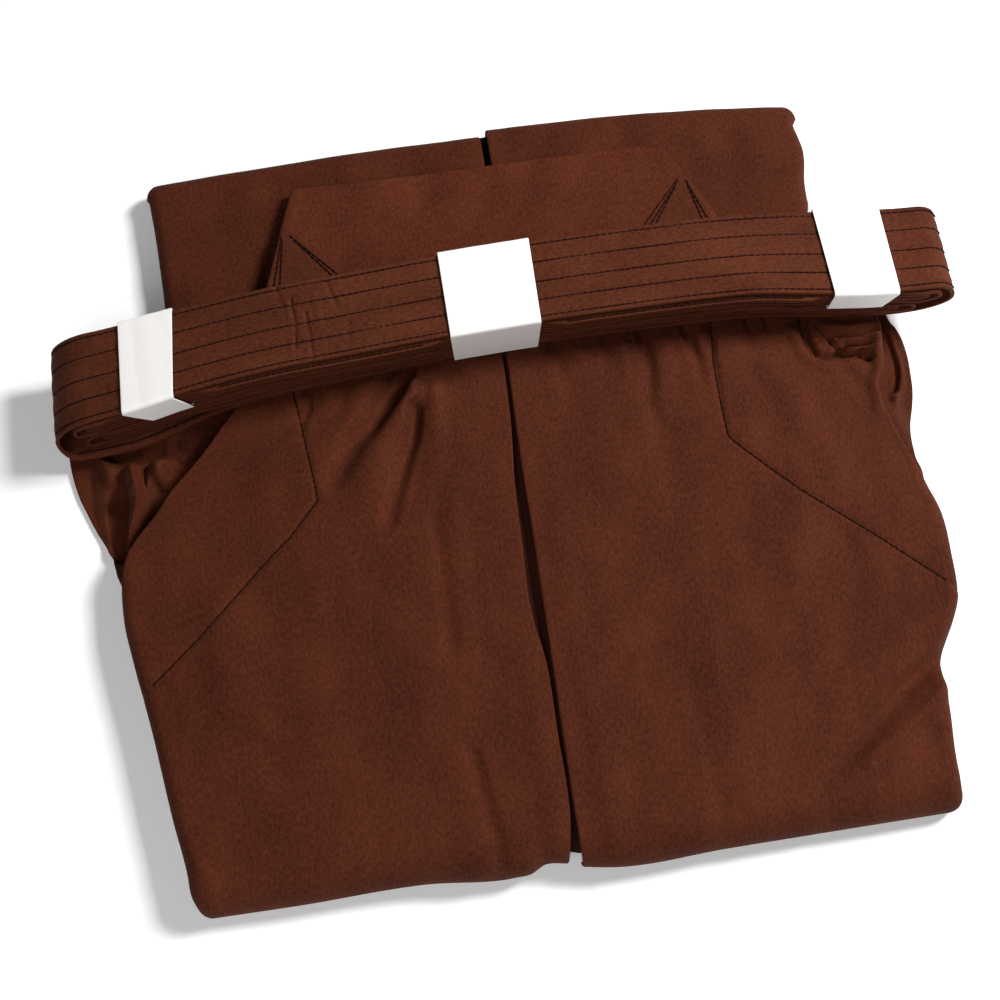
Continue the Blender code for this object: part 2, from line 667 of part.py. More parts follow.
def paper_band(name, far_start, far_end, near_start, near_end, low):
    """A paper band: a thin tube with rounded corners, slewed as it is wrapped.

    It goes round everything above low, so a band that starts high passes between two layers.
    """
    corners = ((1, 1, 0), (-1, 1, 90), (-1, -1, 180), (1, -1, 270))
    loops = []
    for clear in (BAND_CLEAR + PAPER, BAND_CLEAR):
        for share in (0, 0.5, 1):
            loop = []
            for far, top, start in corners:
                first, last = (far_start, far_end) if far > 0 else (near_start, near_end)
                x = first + (last - first) * share
                up = BELT_HEIGHT if top > 0 else low
                place = strap_sheet(x, up, far, 0 if far > 0 else 1 - up / BELT_HEIGHT)
                for turn in np.radians((start, start + 45, start + 90)):
                    loop.append(place + np.array((0, np.cos(turn), np.sin(turn))) * clear)
            loops.append(loop)
    loops = np.array(loops)
    count = loops.shape[1]
    faces = []
    for i in range(2):
        for j in range(count):
            a, b = i * count + j, i * count + (j + 1) % count
            faces.append((a, b, b + count, a + count))
            faces.append(tuple(3 * count + k for k in (a + count, b + count, b, a)))
    for j in range(count):
        a, b = j, (j + 1) % count
        faces.append((a, a + 3 * count, b + 3 * count, b))
        faces.append((a + 2 * count, b + 2 * count, b + 5 * count, a + 5 * count))
    make_node(name, loops.reshape(-1, 3), faces, PAPER_WHITE, roughness=0.7)


def paper_tail():
    """The loose end of the right paper band, a curling sheet behind the belt."""
    left, right, y, z = (np.array(PAPER_TAIL)[:, [k]] for k in range(4))
    x = left + (right - left) * np.linspace(0, 1, TAIL_ACROSS)[None, :]
    outer = np.stack(np.broadcast_arrays(x, y, z), axis=-1)
    aside = PAPER * np.sqrt(0.5)
    inner = outer + np.array((0, aside, -aside))
    make_wall("paper_tail", outer, inner, PAPER_WHITE, flip=True)


def stand_on_origin():
    """Moves every piece so that the floor's origin lies under the middle of the whole."""
    nodes = [node for node in bpy.context.scene.objects if node.type == "MESH"]
    corners = []
    for node in nodes:
        flat = np.empty(len(node.data.vertices) * 3)
        node.data.vertices.foreach_get("co", flat)
        corners += [flat.reshape(-1, 3).min(axis=0), flat.reshape(-1, 3).max(axis=0)]
    low, high = np.min(corners, axis=0), np.max(corners, axis=0)
    shift = ((low[0] + high[0]) / 2, (low[1] + high[1]) / 2, low[2])
    for node in nodes:
        flat = np.empty(len(node.data.vertices) * 3)
        node.data.vertices.foreach_get("co", flat)
        node.data.vertices.foreach_set("co", (flat.reshape(-1, 3) - shift).ravel())
        node.data.update()
    print("moved by", [round(float(value / MM), 2) for value in shift], "mm")


for old in list(bpy.data.objects):
    bpy.data.objects.remove(old)
folded_core()
for side_name, side_sign, leg_end in (("left", -1, LEFT_LEG_END), ("right", 1, RIGHT_LEG_END)):
    lower_leg(side_name, side_sign, leg_end)
    front_panel(side_name, side_sign)
    back_panel(side_name, side_sign)
back_plate()
for strap_end_row in STRAP_ENDS:
    strap_end(*strap_end_row)
belt_top()
belt_bottom()
for group_row in TURN_GROUPS:
    belt_turns(*group_row)
for band_row in BANDS:
    paper_band(*band_row)
paper_tail()
stand_on_origin()
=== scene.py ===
# %% [markdown]
# # Folded hakama and its wound belt
# Put away, these wide pleated trousers are folded in three with the back up, and their long
# quilted belt is wound flat on the waist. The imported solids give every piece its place. This
# script dresses each one as thin cloth with creases, seams and stitches.

import bpy
import numpy as np
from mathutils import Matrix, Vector


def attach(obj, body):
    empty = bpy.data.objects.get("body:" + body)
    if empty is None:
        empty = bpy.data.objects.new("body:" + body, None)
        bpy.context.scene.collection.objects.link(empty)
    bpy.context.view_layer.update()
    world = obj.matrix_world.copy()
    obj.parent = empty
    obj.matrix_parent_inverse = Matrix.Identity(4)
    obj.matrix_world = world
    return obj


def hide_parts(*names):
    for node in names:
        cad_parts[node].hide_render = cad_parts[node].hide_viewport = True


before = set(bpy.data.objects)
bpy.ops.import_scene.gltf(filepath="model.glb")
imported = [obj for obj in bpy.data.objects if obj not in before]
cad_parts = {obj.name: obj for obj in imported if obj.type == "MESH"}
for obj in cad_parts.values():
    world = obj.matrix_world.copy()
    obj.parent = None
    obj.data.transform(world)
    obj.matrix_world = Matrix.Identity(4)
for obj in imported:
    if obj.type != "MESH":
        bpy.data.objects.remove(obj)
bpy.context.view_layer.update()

print("nodes:", ", ".join(sorted(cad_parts)))

# %% [markdown]
# ## The camera
# It looks down at the garment from a little to the left, through a lens of 61 mm.

# %% Camera
def put(name, data):
    """A new object in the scene."""
    thing = bpy.data.objects.new(name, data)
    bpy.context.scene.collection.objects.link(thing)
    return thing


LENS_MM = 61.2
AZIMUTH, ELEVATION = np.radians(-8.08), np.radians(69.13)
DISTANCE = 0.7843
TARGET = Vector((-0.0125, -0.0090, 0.0))

back = Vector((np.sin(AZIMUTH) * np.cos(ELEVATION), -np.cos(AZIMUTH) * np.cos(ELEVATION),
               np.sin(ELEVATION)))
camera = put("camera", bpy.data.cameras.new("camera"))
camera.data.lens, camera.data.sensor_width = LENS_MM, 36.0
camera.location = TARGET + back * DISTANCE
camera.rotation_euler = (-back).to_track_quat("-Z", "Y").to_euler()
bpy.context.scene.camera = camera
bpy.context.scene.view_settings.view_transform = "Standard"
print("camera", round(DISTANCE, 3), "m from the garment")

# %% [markdown]
# ## Curves through a few places
# Cloth has no corners, so its outlines are smooth curves through the places in small tables. All
# is worked out in millimetres and turned into metres at the very end.

# %% Curves and humps
MM = 0.001
SIDES = (("left", -1), ("right", 1))
ORIGIN_SHIFT = np.array((0.0, 4.0, 0.0))  # the tables' zero lies this far from the model's, in mm


def through(where, xs, ys):
    """Cubic pieces: y = h00 y0 + h01 y1 + step (h10 m0 + h11 m1), m being the slopes."""
    xs, ys = np.asarray(xs, float), np.asarray(ys, float)
    slopes = np.gradient(ys, xs)
    where = np.clip(where, xs[0], xs[-1])
    i = np.clip(np.searchsorted(xs, where, side="right") - 1, 0, len(xs) - 2)
    step = xs[i + 1] - xs[i]
    t = (where - xs[i]) / step
    ends = ys[i] * (1 + 2 * t) * (1 - t) ** 2 + ys[i + 1] * t * t * (3 - 2 * t)
    return ends + step * (slopes[i] * t * (1 - t) ** 2 - slopes[i + 1] * t * t * (1 - t))


def curve(places, where):
    """The smooth curve through a few places, each an x and a y."""
    return through(where, *np.transpose(places))


def table(*rows):
    """Reads a named column as a curve of the first one. The top row has the names."""
    names, values = rows[0], np.array(rows[1:], float)
    return lambda name, where: through(where, values[:, 0], values[:, names.index(name)])


def ease(t):
    """3t^2 - 2t^3, from 0 to 1 with level ends."""
    t = np.clip(t, 0, 1)
    return t * t * (3 - 2 * t)


def swell(t):
    """cos^2(pi t / 2): a hump that is 1 at 0 and 0 at -1 and 1."""
    return np.where(np.abs(t) < 1, np.cos(np.pi * np.clip(t, -1, 1) / 2) ** 2, 0)


def ripples(x, y, seed, wavelength, height, waves=7):
    """Sum of sine waves of random direction and phase: the slight unrest of loose cloth."""
    rng = np.random.default_rng(seed)
    total = 0.0
    for turn, phase, stretch in rng.uniform((0, 0, 0.6), (np.pi, 2 * np.pi, 1.7), (waves, 3)):
        across = (np.cos(turn) * x + np.sin(turn) * y) * 2 * np.pi / (wavelength * stretch)
        total = total + np.sin(across + phase)
    return total * height / waves ** 0.5


print("a hump at 0, half a width and a whole width:", swell(np.array((0, 0.5, 1.0))).round(2))

# %% [markdown]
# ## From a grid of points to cloth
# A cloth wall is two grids of points, its outer and its inner face. Each row of both makes a
# closed loop with a half round at either side, because cloth edges are folded over. The UV map is
# measured along the surface, so a weave keeps its size.

# %% Cloth walls
RIM_TURNS = np.radians((22.5, 45, 67.5, 90, 112.5, 135, 157.5))
END_TURNS = np.radians((75, 50, 25))


def grid(*parts):
    """Points from their x, y and z, each a row, a column or one number."""
    return np.stack(np.broadcast_arrays(*parts), axis=-1)


def shares(count):
    return np.linspace(0, 1, count)


def mix(start, end, share):
    """start + (end - start) * share"""
    return start + (end - start) * share


def unit(vectors):
    return vectors / np.maximum(np.linalg.norm(vectors, axis=-1, keepdims=True), 1e-9)


def lengths(points):
    """Distance walked along the first axis, starting from 0."""
    steps = np.linalg.norm(np.diff(points, axis=0), axis=-1)
    return np.concatenate([np.zeros((1, *steps.shape[1:])), np.cumsum(steps, axis=0)])


def finish_mesh(name, points, quads, uv, material, caps=()):
    """A mesh object from points in millimetres, quads and a UV for each point."""
    mesh = bpy.data.meshes.new(name)
    faces = quads.tolist() + [list(map(int, cap)) for cap in caps]
    mesh.from_pydata(((points - ORIGIN_SHIFT) * MM).tolist(), [], faces)
    corner = np.empty(len(mesh.loops), np.int32)
    mesh.loops.foreach_get("vertex_index", corner)
    mesh.uv_layers.new(name="cloth").data.foreach_set("uv", np.float32(uv[corner] * MM).ravel())
    mesh.shade_smooth()
    mesh.set_sharp_from_angle(angle=np.radians(60))
    mesh.materials.append(material)
    piece = put(name, mesh)
    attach(piece, "root")
    return piece


def loft(name, sections, material, wrap=False):
    """Quads between neighbouring closed loops, with a cap at each end unless the loft wraps round.

    If the signed volume sum(a . (b x c) + a . (c x d)) / 6 is negative, all faces turn over.
    """
    count, size = sections.shape[:2]
    i, j = np.meshgrid(np.arange(count if wrap else count - 1), np.arange(size), indexing="ij")
    a, b = i * size + j, i * size + (j + 1) % size
    c, d = (b + size) % (count * size), (a + size) % (count * size)
    quads = grid(a, b, c, d).reshape(-1, 4)
    caps = [] if wrap else [np.arange(size)[::-1], (count - 1) * size + np.arange(size)]
    a, b, c, d = np.swapaxes((sections.reshape(-1, 3) - sections.mean((0, 1)))[quads], 0, 1)
    if (a * (np.cross(b, c) + np.cross(c, d))).sum() < 0:
        quads, caps = quads[:, ::-1], [cap[::-1] for cap in caps]
    around = lengths(np.swapaxes(sections, 0, 1)).T
    uv = grid(around, lengths(sections)).reshape(-1, 2)
    return finish_mesh(name, sections.reshape(-1, 3), quads, uv, material, caps)


def half_round(outer, inner, beyond, bulge):
    """From outer to inner over a half circle: centre + cos t * radius + bulge * sin t * outward."""
    centre, radius = ((outer + inner) / 2)[..., None, :], ((outer - inner) / 2)[..., None, :]
    size = np.linalg.norm(radius, axis=-1, keepdims=True) * bulge
    turn = RIM_TURNS[:, None]
    return centre + np.cos(turn) * radius + np.sin(turn) * (unit(beyond)[..., None, :] * size)


def round_ends(outer, inner):
    """Adds thinner and thinner rows beyond the first and last one, so both ends are round too."""
    def end(o, i, o_next):
        centre, radius = (o + i) / 2, (o - i) / 2
        out = unit(o - o_next) * np.linalg.norm(radius, axis=-1, keepdims=True)
        turns = END_TURNS[:, None, None]
        middle = centre + np.sin(turns) * out
        return middle + np.cos(turns) * radius, middle - np.cos(turns) * radius
    first, last = end(outer[0], inner[0], outer[1]), end(outer[-1], inner[-1], outer[-2])
    return tuple(np.concatenate([f, face, l[::-1]]) for f, face, l in zip(first, (outer, inner), last))


def cloth_wall(name, outer, inner, material, wrap=False, bulge=1.0):
    """A closed wall: loops of outer row, half round, inner row backwards, half round."""
    if not wrap:
        outer, inner = round_ends(outer, inner)
    right = half_round(outer[:, -1], inner[:, -1], outer[:, -1] - outer[:, -2], bulge)
    left = half_round(inner[:, 0], outer[:, 0], outer[:, 0] - outer[:, 1], bulge)
    return loft(name, np.concatenate([outer, right, inner[:, ::-1], left], axis=1), material, wrap)


def stand_in(piece, slot, *nodes):
    """Hides the imported nodes that a piece stands for: those given, or the one named as the piece. The
    slot is not used.
    """
    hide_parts(*(nodes or (piece.name.rsplit("_", 1)[0],)))


def dress(piece, slot, face, held, *rests_on, nodes=()):
    """Hides the imported nodes that a piece stands for, as stand_in does; the face is not used."""
    stand_in(piece, slot, *nodes)


print("cloth walls get", len(RIM_TURNS), "points round each edge")

# %% [markdown]
# ## Cloth, thread and paper
# The cloth is a fine twill spun from polyester and rayon, matt with hardly any sheen. Its threads
# are 0.3 mm apart, too fine to show from here, so the twill is drawn twice as coarse and kept
# faint. The dye takes a little unevenly in patches.

# %% Nodes
def linear(code):
    """sRGB hex to linear: (v + 0.055) / 1.055 to the power 2.4, or v / 12.92 near black."""
    values = [int(code[i:i + 2], 16) / 255 for i in (0, 2, 4)]
    return (*(v / 12.92 if v <= 0.04045 else ((v + 0.055) / 1.055) ** 2.4 for v in values), 1.0)


def add(material, kind, links=None, inputs=None, **settings):
    """A node with its settings, its input values, and links given as input: (node, output)."""
    node = material.node_tree.nodes.new("ShaderNode" + kind)
    for name, value in settings.items():
        setattr(node, name, value)
    for name, value in (inputs or {}).items():
        node.inputs[name].default_value = value
    for name, (source, output) in (links or {}).items():
        material.node_tree.links.new(source.outputs[output], node.inputs[name])
    return node


def blank(name):
    material = bpy.data.materials.new(name)
    material.use_nodes = True
    material.node_tree.nodes.clear()
    return material


def tint(material, factor, dark, light):
    """A colour from dark to light by the factor, a node and its output."""
    tone = add(material, "Mix", {"Factor": factor}, data_type="RGBA")
    tone.inputs[6].default_value, tone.inputs[7].default_value = linear(dark), linear(light)
    return tone, 2


def finish(material, colour, height, bump, settings):
    """The shader, with the height as its bump, and the material's output."""
    links = {"Base Color": colour}
    if bump:
        links["Normal"] = add(material, "Bump", {"Height": height}, bump), "Normal"
    shader = add(material, "BsdfPrincipled", links, settings)
    add(material, "OutputMaterial", {"Surface": (shader, "BSDF")})
    return material


def mottled(name, dark, light, scale, settings, detail=2.0, bump=None):
    """A tone that wanders from dark to light with a noise, which may raise the surface too."""
    material = blank(name)
    place = add(material, "TexCoord"), "Object"
    noise = add(material, "TexNoise", {"Vector": place}, {"Scale": scale, "Detail": detail}), "Fac"
    return finish(material, tint(material, noise, dark, light), noise, bump, settings)


# %% Twill cloth
THREAD_MM = 0.6      # drawn pitch of the twill's ribs
SLUB_MM = 1.2        # thicker places in the yarn
PATCH_MM = 26.0      # uneven dye
SLUB_SHARE, PATCH_SHARE = 0.62, 0.36    # how much each adds to the shade
SHADE_RANGE = (0.31, 0.67)
WAVE_PERIOD = np.pi / 10  # a wave node of scale 1 repeats after 2 pi / 20


def twill(name, colour, dark, rib=0.5):
    """Spun polyester and rayon twill: faint diagonal ribs, slubs and patches of deeper dye."""
    cloth = blank(name)
    place = add(cloth, "UVMap", uv_map="cloth"), "UV"
    turned = add(cloth, "Mapping", {"Vector": place}, {"Rotation": (0, 0, np.radians(63))})
    ribs = add(cloth, "TexWave", {"Vector": (turned, "Vector")},
               {"Scale": WAVE_PERIOD / (THREAD_MM * MM), "Distortion": 1.2, "Detail": 1.0,
                "Detail Scale": 0.6}, bands_direction="X")
    drawn = add(cloth, "Mapping", {"Vector": place}, {"Scale": (1, 0.5, 1)})
    slubs, patches = (
        (add(cloth, "TexNoise", {"Vector": (drawn, "Vector")},
             {"Scale": 1 / (size * MM), "Detail": 3.0, "Roughness": roughness}), "Fac")
        for size, roughness in ((SLUB_MM, 0.7), (PATCH_MM, 0.6)))
    faint = add(cloth, "Math", {0: patches}, {1: PATCH_SHARE}, operation="MULTIPLY")
    uneven = add(cloth, "Math", {0: slubs, 2: (faint, "Value")}, {1: SLUB_SHARE},
                 operation="MULTIPLY_ADD")
    shade = add(cloth, "MapRange", {"Value": (uneven, "Value")},
                {"From Min": SHADE_RANGE[0], "From Max": SHADE_RANGE[1]})
    height = add(cloth, "Math", {0: (ribs, "Fac"), 2: slubs}, {1: rib}, operation="MULTIPLY_ADD")
    return finish(cloth, tint(cloth, (shade, "Result"), dark, colour), (height, "Value"),
                  {"Strength": 0.42, "Distance": 0.25 * MM},
                  {"Roughness": 0.86, "Sheen Weight": 0.03, "Sheen Roughness": 0.5,
                   "Sheen Tint": linear("C08060"), "Specular IOR Level": 0.12})


panel_twill = twill("spun_twill_of_the_legs", "5A2A16", "2F0E05")
plate_twill = twill("spun_twill_over_the_board", "632F1A", "361107")
strap_twill = twill("quilted_twill_of_the_strap", "60301B", "351208", rib=0.35)
# the same twill in a darker colour for the layers inside the pile: painted shade for the folds, where
# little light reaches
shade_darkened_inner_twill = twill("spun_twill_inside_the_folds", "452013", "2D0F07")
print("twill ribs every", THREAD_MM, "mm")

# %% Thread and paper
# polyester thread, nearly black brown
thread = mottled("polyester_sewing_thread", "140503", "280E08", 1 / (0.4 * MM),
                 {"Roughness": 0.85, "Specular IOR Level": 0.1})
# uncoated wood-free paper: white, faintly warm, with a soft fibre tooth
paper = mottled("uncoated_white_paper", "F3F0EC", "FCFAF8", 1 / (1.5 * MM), {"Roughness": 0.62},
                detail=4.0, bump={"Strength": 0.2, "Distance": 0.08 * MM})
print("materials:", len(bpy.data.materials))

# %% [markdown]
# ## The outline of each layer
# Every layer turns round the same centre lines at its folds, so a deeper layer has a smaller
# radius and never meets the one above.

# %% Outlines
WALL = 2.0
LAYER = 2.5
RIM = 0.9    # a folded edge is round, so its flat face stops this far short of it
STACK_TOP, LEGS_TOP = 19.2, 13.8
CROWN, PACK_HALF_WIDTH, SIDE_THINNING = 3.0, 160.0, 4.3
WAIST_Y, NEAR_Y = 76.0, -177.0
NEAR_RADIUS, FAR_RADIUS, SIDE_RADIUS = 14.0, 8.0, 6.0
NEAR_START = NEAR_Y + NEAR_RADIUS
LAST_TURN, SIDE_TURN = 115.0, 75.0      # how far a panel goes round the fold and its side, in degrees
FADE_START, FADE = 100.0, 60.0          # what happens at the folds fades out over this stretch
CURL_POINTS, FLAT_CURL, CURL_FADE = 9, 0.1, 22.0
BACK_CURL_FROM, FRONT_CURL_FROM = -14, -20      # a side edge begins to roll over here

# where each layer's side edges run
edge = table(
    ("y", "back_left", "front_left", "core_left", "core_right", "front_right", "back_right"),
    (-178, -163, -161, -153, 154, 161, 163.5),
    (-172, -164.5, -163, -156, 155, 161.5, 162.5),
    (-160, -165.5, -164, -158, 155.5, 161, 162.5),
    (-135, -170, -169, -163, 158, 163.5, 165),
    (-112, -173.5, -172.5, -167, 161, 165.5, 167),
    (-102, -175, -174, -169, 165, 170, 172),
    (-85, -178, -177, -171, 172, 178, 180),
    (-64, -182, -181, -174, 173, 180.5, 182.5),
    (-44, -185, -184, -174, 172, 180.5, 182.5),
    (-26, -184.5, -186, -171, 168, 179, 177.5),
    (-12, -179.8, -189.5, -166, 162, 178.5, 172.6),
    (4, -166.5, -196.5, -160, 158, 182, 169.4),
    (14, -159.5, -200.5, -158, 157, 185.5, 168),
    (22, -151.8, -203.5, -157, 156, 187.5, 168),
    (30, -144.2, -205.5, -156.5, 156, 188.4, 172.6),
    (40, -135.5, -207, -156, 156, 189, 174.6),
    (54, -123, -207, -156, 156, 187, 176),
    (64, -115, -204, -156, 156, 182, 174),
    (76, -110, -198, -156, 156, 176, 150),
)
SPLIT_MIDDLE = -3.8
split = table(
    ("y", "left", "right"),
    (-178, -7.4, -1.6),
    (-171, -6.2, -2.2),
    (-162, -4.9, -2.5),
    (-125, -4.6, -2.4),
    (-86, -5, -2.2),
    (-72, -7.2, -2),
    (-34, -7.1, -1.8),
    (-6, -6, -2),
    (23, -3.6, -1.6),
    (54, -2.6, -1),
    (76, -2.4, -1),
)
NEAR_OUTLINE = {  # x, and how far short of NEAR_Y the fold stays there
    "left": ((-163, 1), (-121, 1), (-68, 2), (-31, -0.6), (-23, 0.2), (-18, 2.8), (-7, 2.2)),
    "right": ((-2, 0), (11, -2), (61, -1), (160, 1)),
}
BELT_LEFT, BELT_RIGHT = -209.5, 209.5
belt = table(
    ("x", "centre_y", "under_z", "width"),
    (BELT_LEFT, 64.4, 8, 45.5),
    (-172, 66.4, 13.8, 43.5),
    (-150, 68.6, 17.4, 42),
    (-127, 70, 21.4, 41),
    (-104, 71.2, 24.4, 41),
    (-80, 72.4, 25.4, 41),
    (-26, 76, 25.4, 41),
    (20, 77.8, 25.4, 41),
    (67, 78.4, 25.4, 41),
    (92, 78.3, 25.3, 41),
    (112, 78, 24.4, 41),
    (132, 77, 22.3, 42.2),
    (150, 76, 19.9, 43),
    (167, 75.6, 17.6, 43.6),
    (188, 75.6, 14.8, 43.2),
    (BELT_RIGHT, 76, 13.6, 43),
)


def stack_top(x, y):
    """Top of the folded pile: highest along its middle, thinner beside the waist."""
    thin = ease((np.abs(x) - 95) / 60) * ease((y + 45) / 85)
    return STACK_TOP - CROWN * (x / PACK_HALF_WIDTH) ** 2 - SIDE_THINNING * thin


def near_shift(x, y):
    """How far the near fold is drawn in at x, fading out away from it."""
    left, right = (curve(NEAR_OUTLINE[side], x) for side in NEAR_OUTLINE)
    return np.where(x < SPLIT_MIDDLE, left, right) * ease((-FADE_START - y) / FADE)


def round_near_fold(x, y, turn, depth):
    """y - r sin t and z - R + r cos t about the near fold's centre line, with r = R - depth."""
    reach = NEAR_RADIUS - depth
    z = stack_top(x, y) + 2 * LAYER - NEAR_RADIUS + reach * np.cos(turn)
    return grid(x, y + near_shift(x, y) - reach * np.sin(turn), z)


def panel_across(inner_x, outer_x, turned, depth, sign, flat):
    """x and depth across a panel: flat shares, then the curl of its side edge."""
    curl = np.radians(SIDE_TURN * turned) * shares(CURL_POINTS)
    centre = outer_x - sign * SIDE_RADIUS * np.sin(curl[:, -1:])
    reach = SIDE_RADIUS - depth
    x = mix(inner_x, centre, flat)
    curled_x = centre + sign * reach * np.sin(curl[:, 1:])
    deep = np.concatenate([np.full(x.shape, depth), SIDE_RADIUS - reach * np.cos(curl[:, 1:])], axis=1)
    return np.concatenate([x, curled_x], axis=1), deep


def curled(start, y):
    """The share of its full turn that a side edge makes: hardly any along the side opening."""
    return mix(FLAT_CURL, 1, ease((start - y) / CURL_FADE))


def panel_rows(step, turn_step):
    """Rows from the waist to the near fold, then rows that go round it: y and turn."""
    flat = np.linspace(WAIST_Y, NEAR_START, int((WAIST_Y - NEAR_START) / step))
    turn = np.radians(np.arange(turn_step, LAST_TURN + 1, turn_step))
    ys = np.concatenate([flat, np.full(len(turn), NEAR_START)])
    return ys[:, None], np.concatenate([np.zeros(len(flat)), turn])[:, None]


print("the top of the pile lies", STACK_TOP, "mm up")

# %% [markdown]
# ## Creases and the facing's seam
# Soft creases fan out from under the belt. Each is a ridge or a valley along a line, cos^2 in
# section. A facing inside the side opening is held by a row of stitches, which draws the cloth
# down into a fine groove.

# %% Creases
# half width at the first and last place, height at both (minus is a valley), then places x, y
CREASES = (
    (7.5, 9, -9, -1.8, (-48, 62), (-49.5, 55), (-54, 47.5), (-60.5, 39.5), (-67.5, 31), (-74.5, 25),
     (-81, 16), (-87, 5)),
    (4.4, 4.2, -4.2, -2.4, (-45.8, 60), (-47.2, 54), (-51.5, 48), (-57.5, 41), (-64.5, 33)),
    (7, 9, 2.4, 0.4, (-62, 62), (-67, 52), (-73, 39), (-86, 24)),
    (6.8, 13, 4.6, 0.7, (-44.5, 46), (-49.5, 37), (-57, 27), (-64.5, 17), (-72, 6), (-80, -6)),
    (5.2, 6.5, -4.8, -2, (-46.5, 36), (-47.2, 28), (-50, 19), (-54, 10), (-59, -2), (-64, -16)),
    (7, 10, 2.2, 0.3, (-37, 48), (-37.5, 28), (-40, 8), (-48, -16)),
    (5, 6, -0.9, -0.9, (-44, -18), (-44, -48), (-44.6, -78)),
    (7, 7, 0.7, 0.7, (-35, -10), (-35, -60), (-37, -84)),
    (3, 3.6, -2.2, -0.6, (-93, 62), (-93.5, 47), (-94.5, 42), (-98, 34)),
    (2.6, 3, 1.5, 0.2, (-97.2, 57), (-97.6, 49), (-98.6, 43)),
    (3.5, 4, -1.3, -0.2, (-76, 60), (-76.5, 51), (-79.5, 40)),
    (4.5, 6, 1.8, 0.2, (-84, 64), (-84.5, 52), (-87, 36)),
    (5, 6, -1.3, -0.3, (-96, 42), (-102, 36), (-111, 30)),
    (2.4, 3, -1.4, -0.2, (-111.4, 56), (-110.8, 50), (-109, 45)),
    (5, 6, -1.5, -0.9, (-41, 47), (-34, 50), (-26, 53)),
    (6, 8, 1.3, 0.2, (-19, 66), (-20, 40)),
    (5, 6, -1.3, -1.2, (-41, -126), (-38, -152), (-34, -174)),
    (7, 8, 0.5, 0.4, (-50, -124), (-46, -172)),
    (9, 9, 0.5, 0.9, (-14, -50), (-11, -118), (-12, -165)),
    (6, 5, 0.8, 0.8, (-163, -150), (-158, -160), (-150, -172)),
    (14, 12, 0.9, 0.3, (-140, -60), (-150, -120)),
    (16, 20, 0.9, 0.4, (-96, 0), (-60, -110)),
    (10, 16, -0.9, -0.3, (-150, -96), (-88, -150)),
    (5, 6, -1.5, -0.2, (21, 64), (24, 38), (26, 20)),
    (6, 8, 1.4, 0.2, (31, 64), (34, 40), (38, 12)),
    (4, 5, -2, -0.3, (47, 64), (45.5, 57), (43.4, 42)),
    (4, 5, 1.9, 0.2, (54, 66), (53, 52), (52, 38)),
    (4.6, 7, -3.8, -0.3, (63.5, 64), (63, 53), (63, 39), (60.5, 26), (63, 6)),
    (4.6, 8, 2.2, 0.2, (73, 66), (72, 48), (69, 26)),
    (4, 4.6, -3.4, -0.3, (83, 64), (84.5, 52), (87, 40), (87, 28)),
    (3.6, 5, 1.6, 0.1, (90, 64), (89, 44), (88, 28)),
    (6, 10, 1.1, 0.2, (104, 68), (105, 28)),
    (2.6, 2.4, -1.6, -0.4, (95.6, 60), (94.4, 44), (93.8, 22)),
    (2.6, 2.6, -2.2, -0.2, (113, 62), (114, 49)),
    (2.6, 2.6, -2.2, -0.2, (122, 62), (122.5, 48)),
    (3.6, 3, -5, -4, (139.8, 60), (139.7, 46), (141.5, 41), (144.3, 38.2), (149, 38.2), (154, 38.4)),
    (2.6, 2.8, -3.6, -4.6, (153, 38.4), (162, 37.4), (167, 34.8)),
    (1.5, 1.3, -2.2, -1.6, (146.3, 54), (147.9, 49.2), (150.3, 44.7), (153.8, 39)),
    (1.6, 1.6, -2, -1.4, (148, 49.3), (154.5, 46.8), (160.2, 46.8), (168, 47.5), (174, 48.6)),
    (1.7, 1.5, -1.8, -1.4, (157, 41.8), (165, 41.6), (171.5, 42)),
    (2.5, 2.8, 3, 3.2, (152, 45), (163.4, 44), (173.3, 45.5)),
    (2.1, 2.3, 2.8, 2.6, (154.5, 40.5), (162.4, 39.6), (171, 39.2)),
    (3.4, 3, 2.4, 2.4, (148, 53), (160, 51.5), (172, 52.5)),
    (5, 6, 2.2, 1.2, (133, 52), (137, 38), (146, 32.5), (160, 31)),
    (6, 6, -1.4, -0.4, (153.5, 32), (156.7, 26), (160, 19)),
    (4.5, 4.5, 2.4, 1.2, (172.5, 44), (171.5, 36), (169.5, 28), (166, 21), (165, 8)),
    (9, 10, 1, 0.5, (118, 36), (126, 14), (132, -6), (138, -31)),
    (9, 10, -0.9, -0.3, (136, 20), (144, 0), (150, -28)),
    (5, 5, 0.5, 0.5, (140, -50), (146, -64)),
    (6, 7, -0.6, -0.5, (56, -106), (57, -136), (60, -170)),
    (7, 8, 0.5, 0.4, (67, -104), (69, -136), (72, -170)),
    (6.5, 9, -5.6, -1.5, (176, -103), (167, -110), (149, -122), (128, -139), (112, -151), (104, -158)),
    (6, 6, 3.8, 1, (172, -120), (161, -128.5), (140, -143), (124, -152)),
    (13, 15, 2.4, 0.6, (178, -88), (152, -103), (118, -124)),
    (9, 10, 0.6, 0.9, (10, -20), (11, -90), (14, -168)),
    (9, 9, -0.6, -0.4, (26, -96), (25, -150)),
    (18, 20, 0.9, 0.4, (120, -20), (96, -110)),
    (12, 14, -0.9, -0.4, (100, -66), (84, -90), (62, -104)),
)
FACING_SEAMS = {
    "left": ((-101.5, 62), (-98.7, 42), (-96.4, 20), (-94.4, 2), (-94.4, -3), (-108.7, -18.3),
             (-118.4, -26.4), (-152.1, -58.4), (-175, -77.5), (-190, -89)),
    "right": ((96.5, 62), (93.4, 41), (93.0, 20), (93.2, 3), (96, -1), (120, -27), (151, -54),
              (175, -77), (190, -91)),
}
SEAM_DEPTH, SEAM_HALF = 0.8, 1.9
PUCKER, PUCKER_LENGTH, PUCKER_HALF = 0.16, 5.3, 5.0


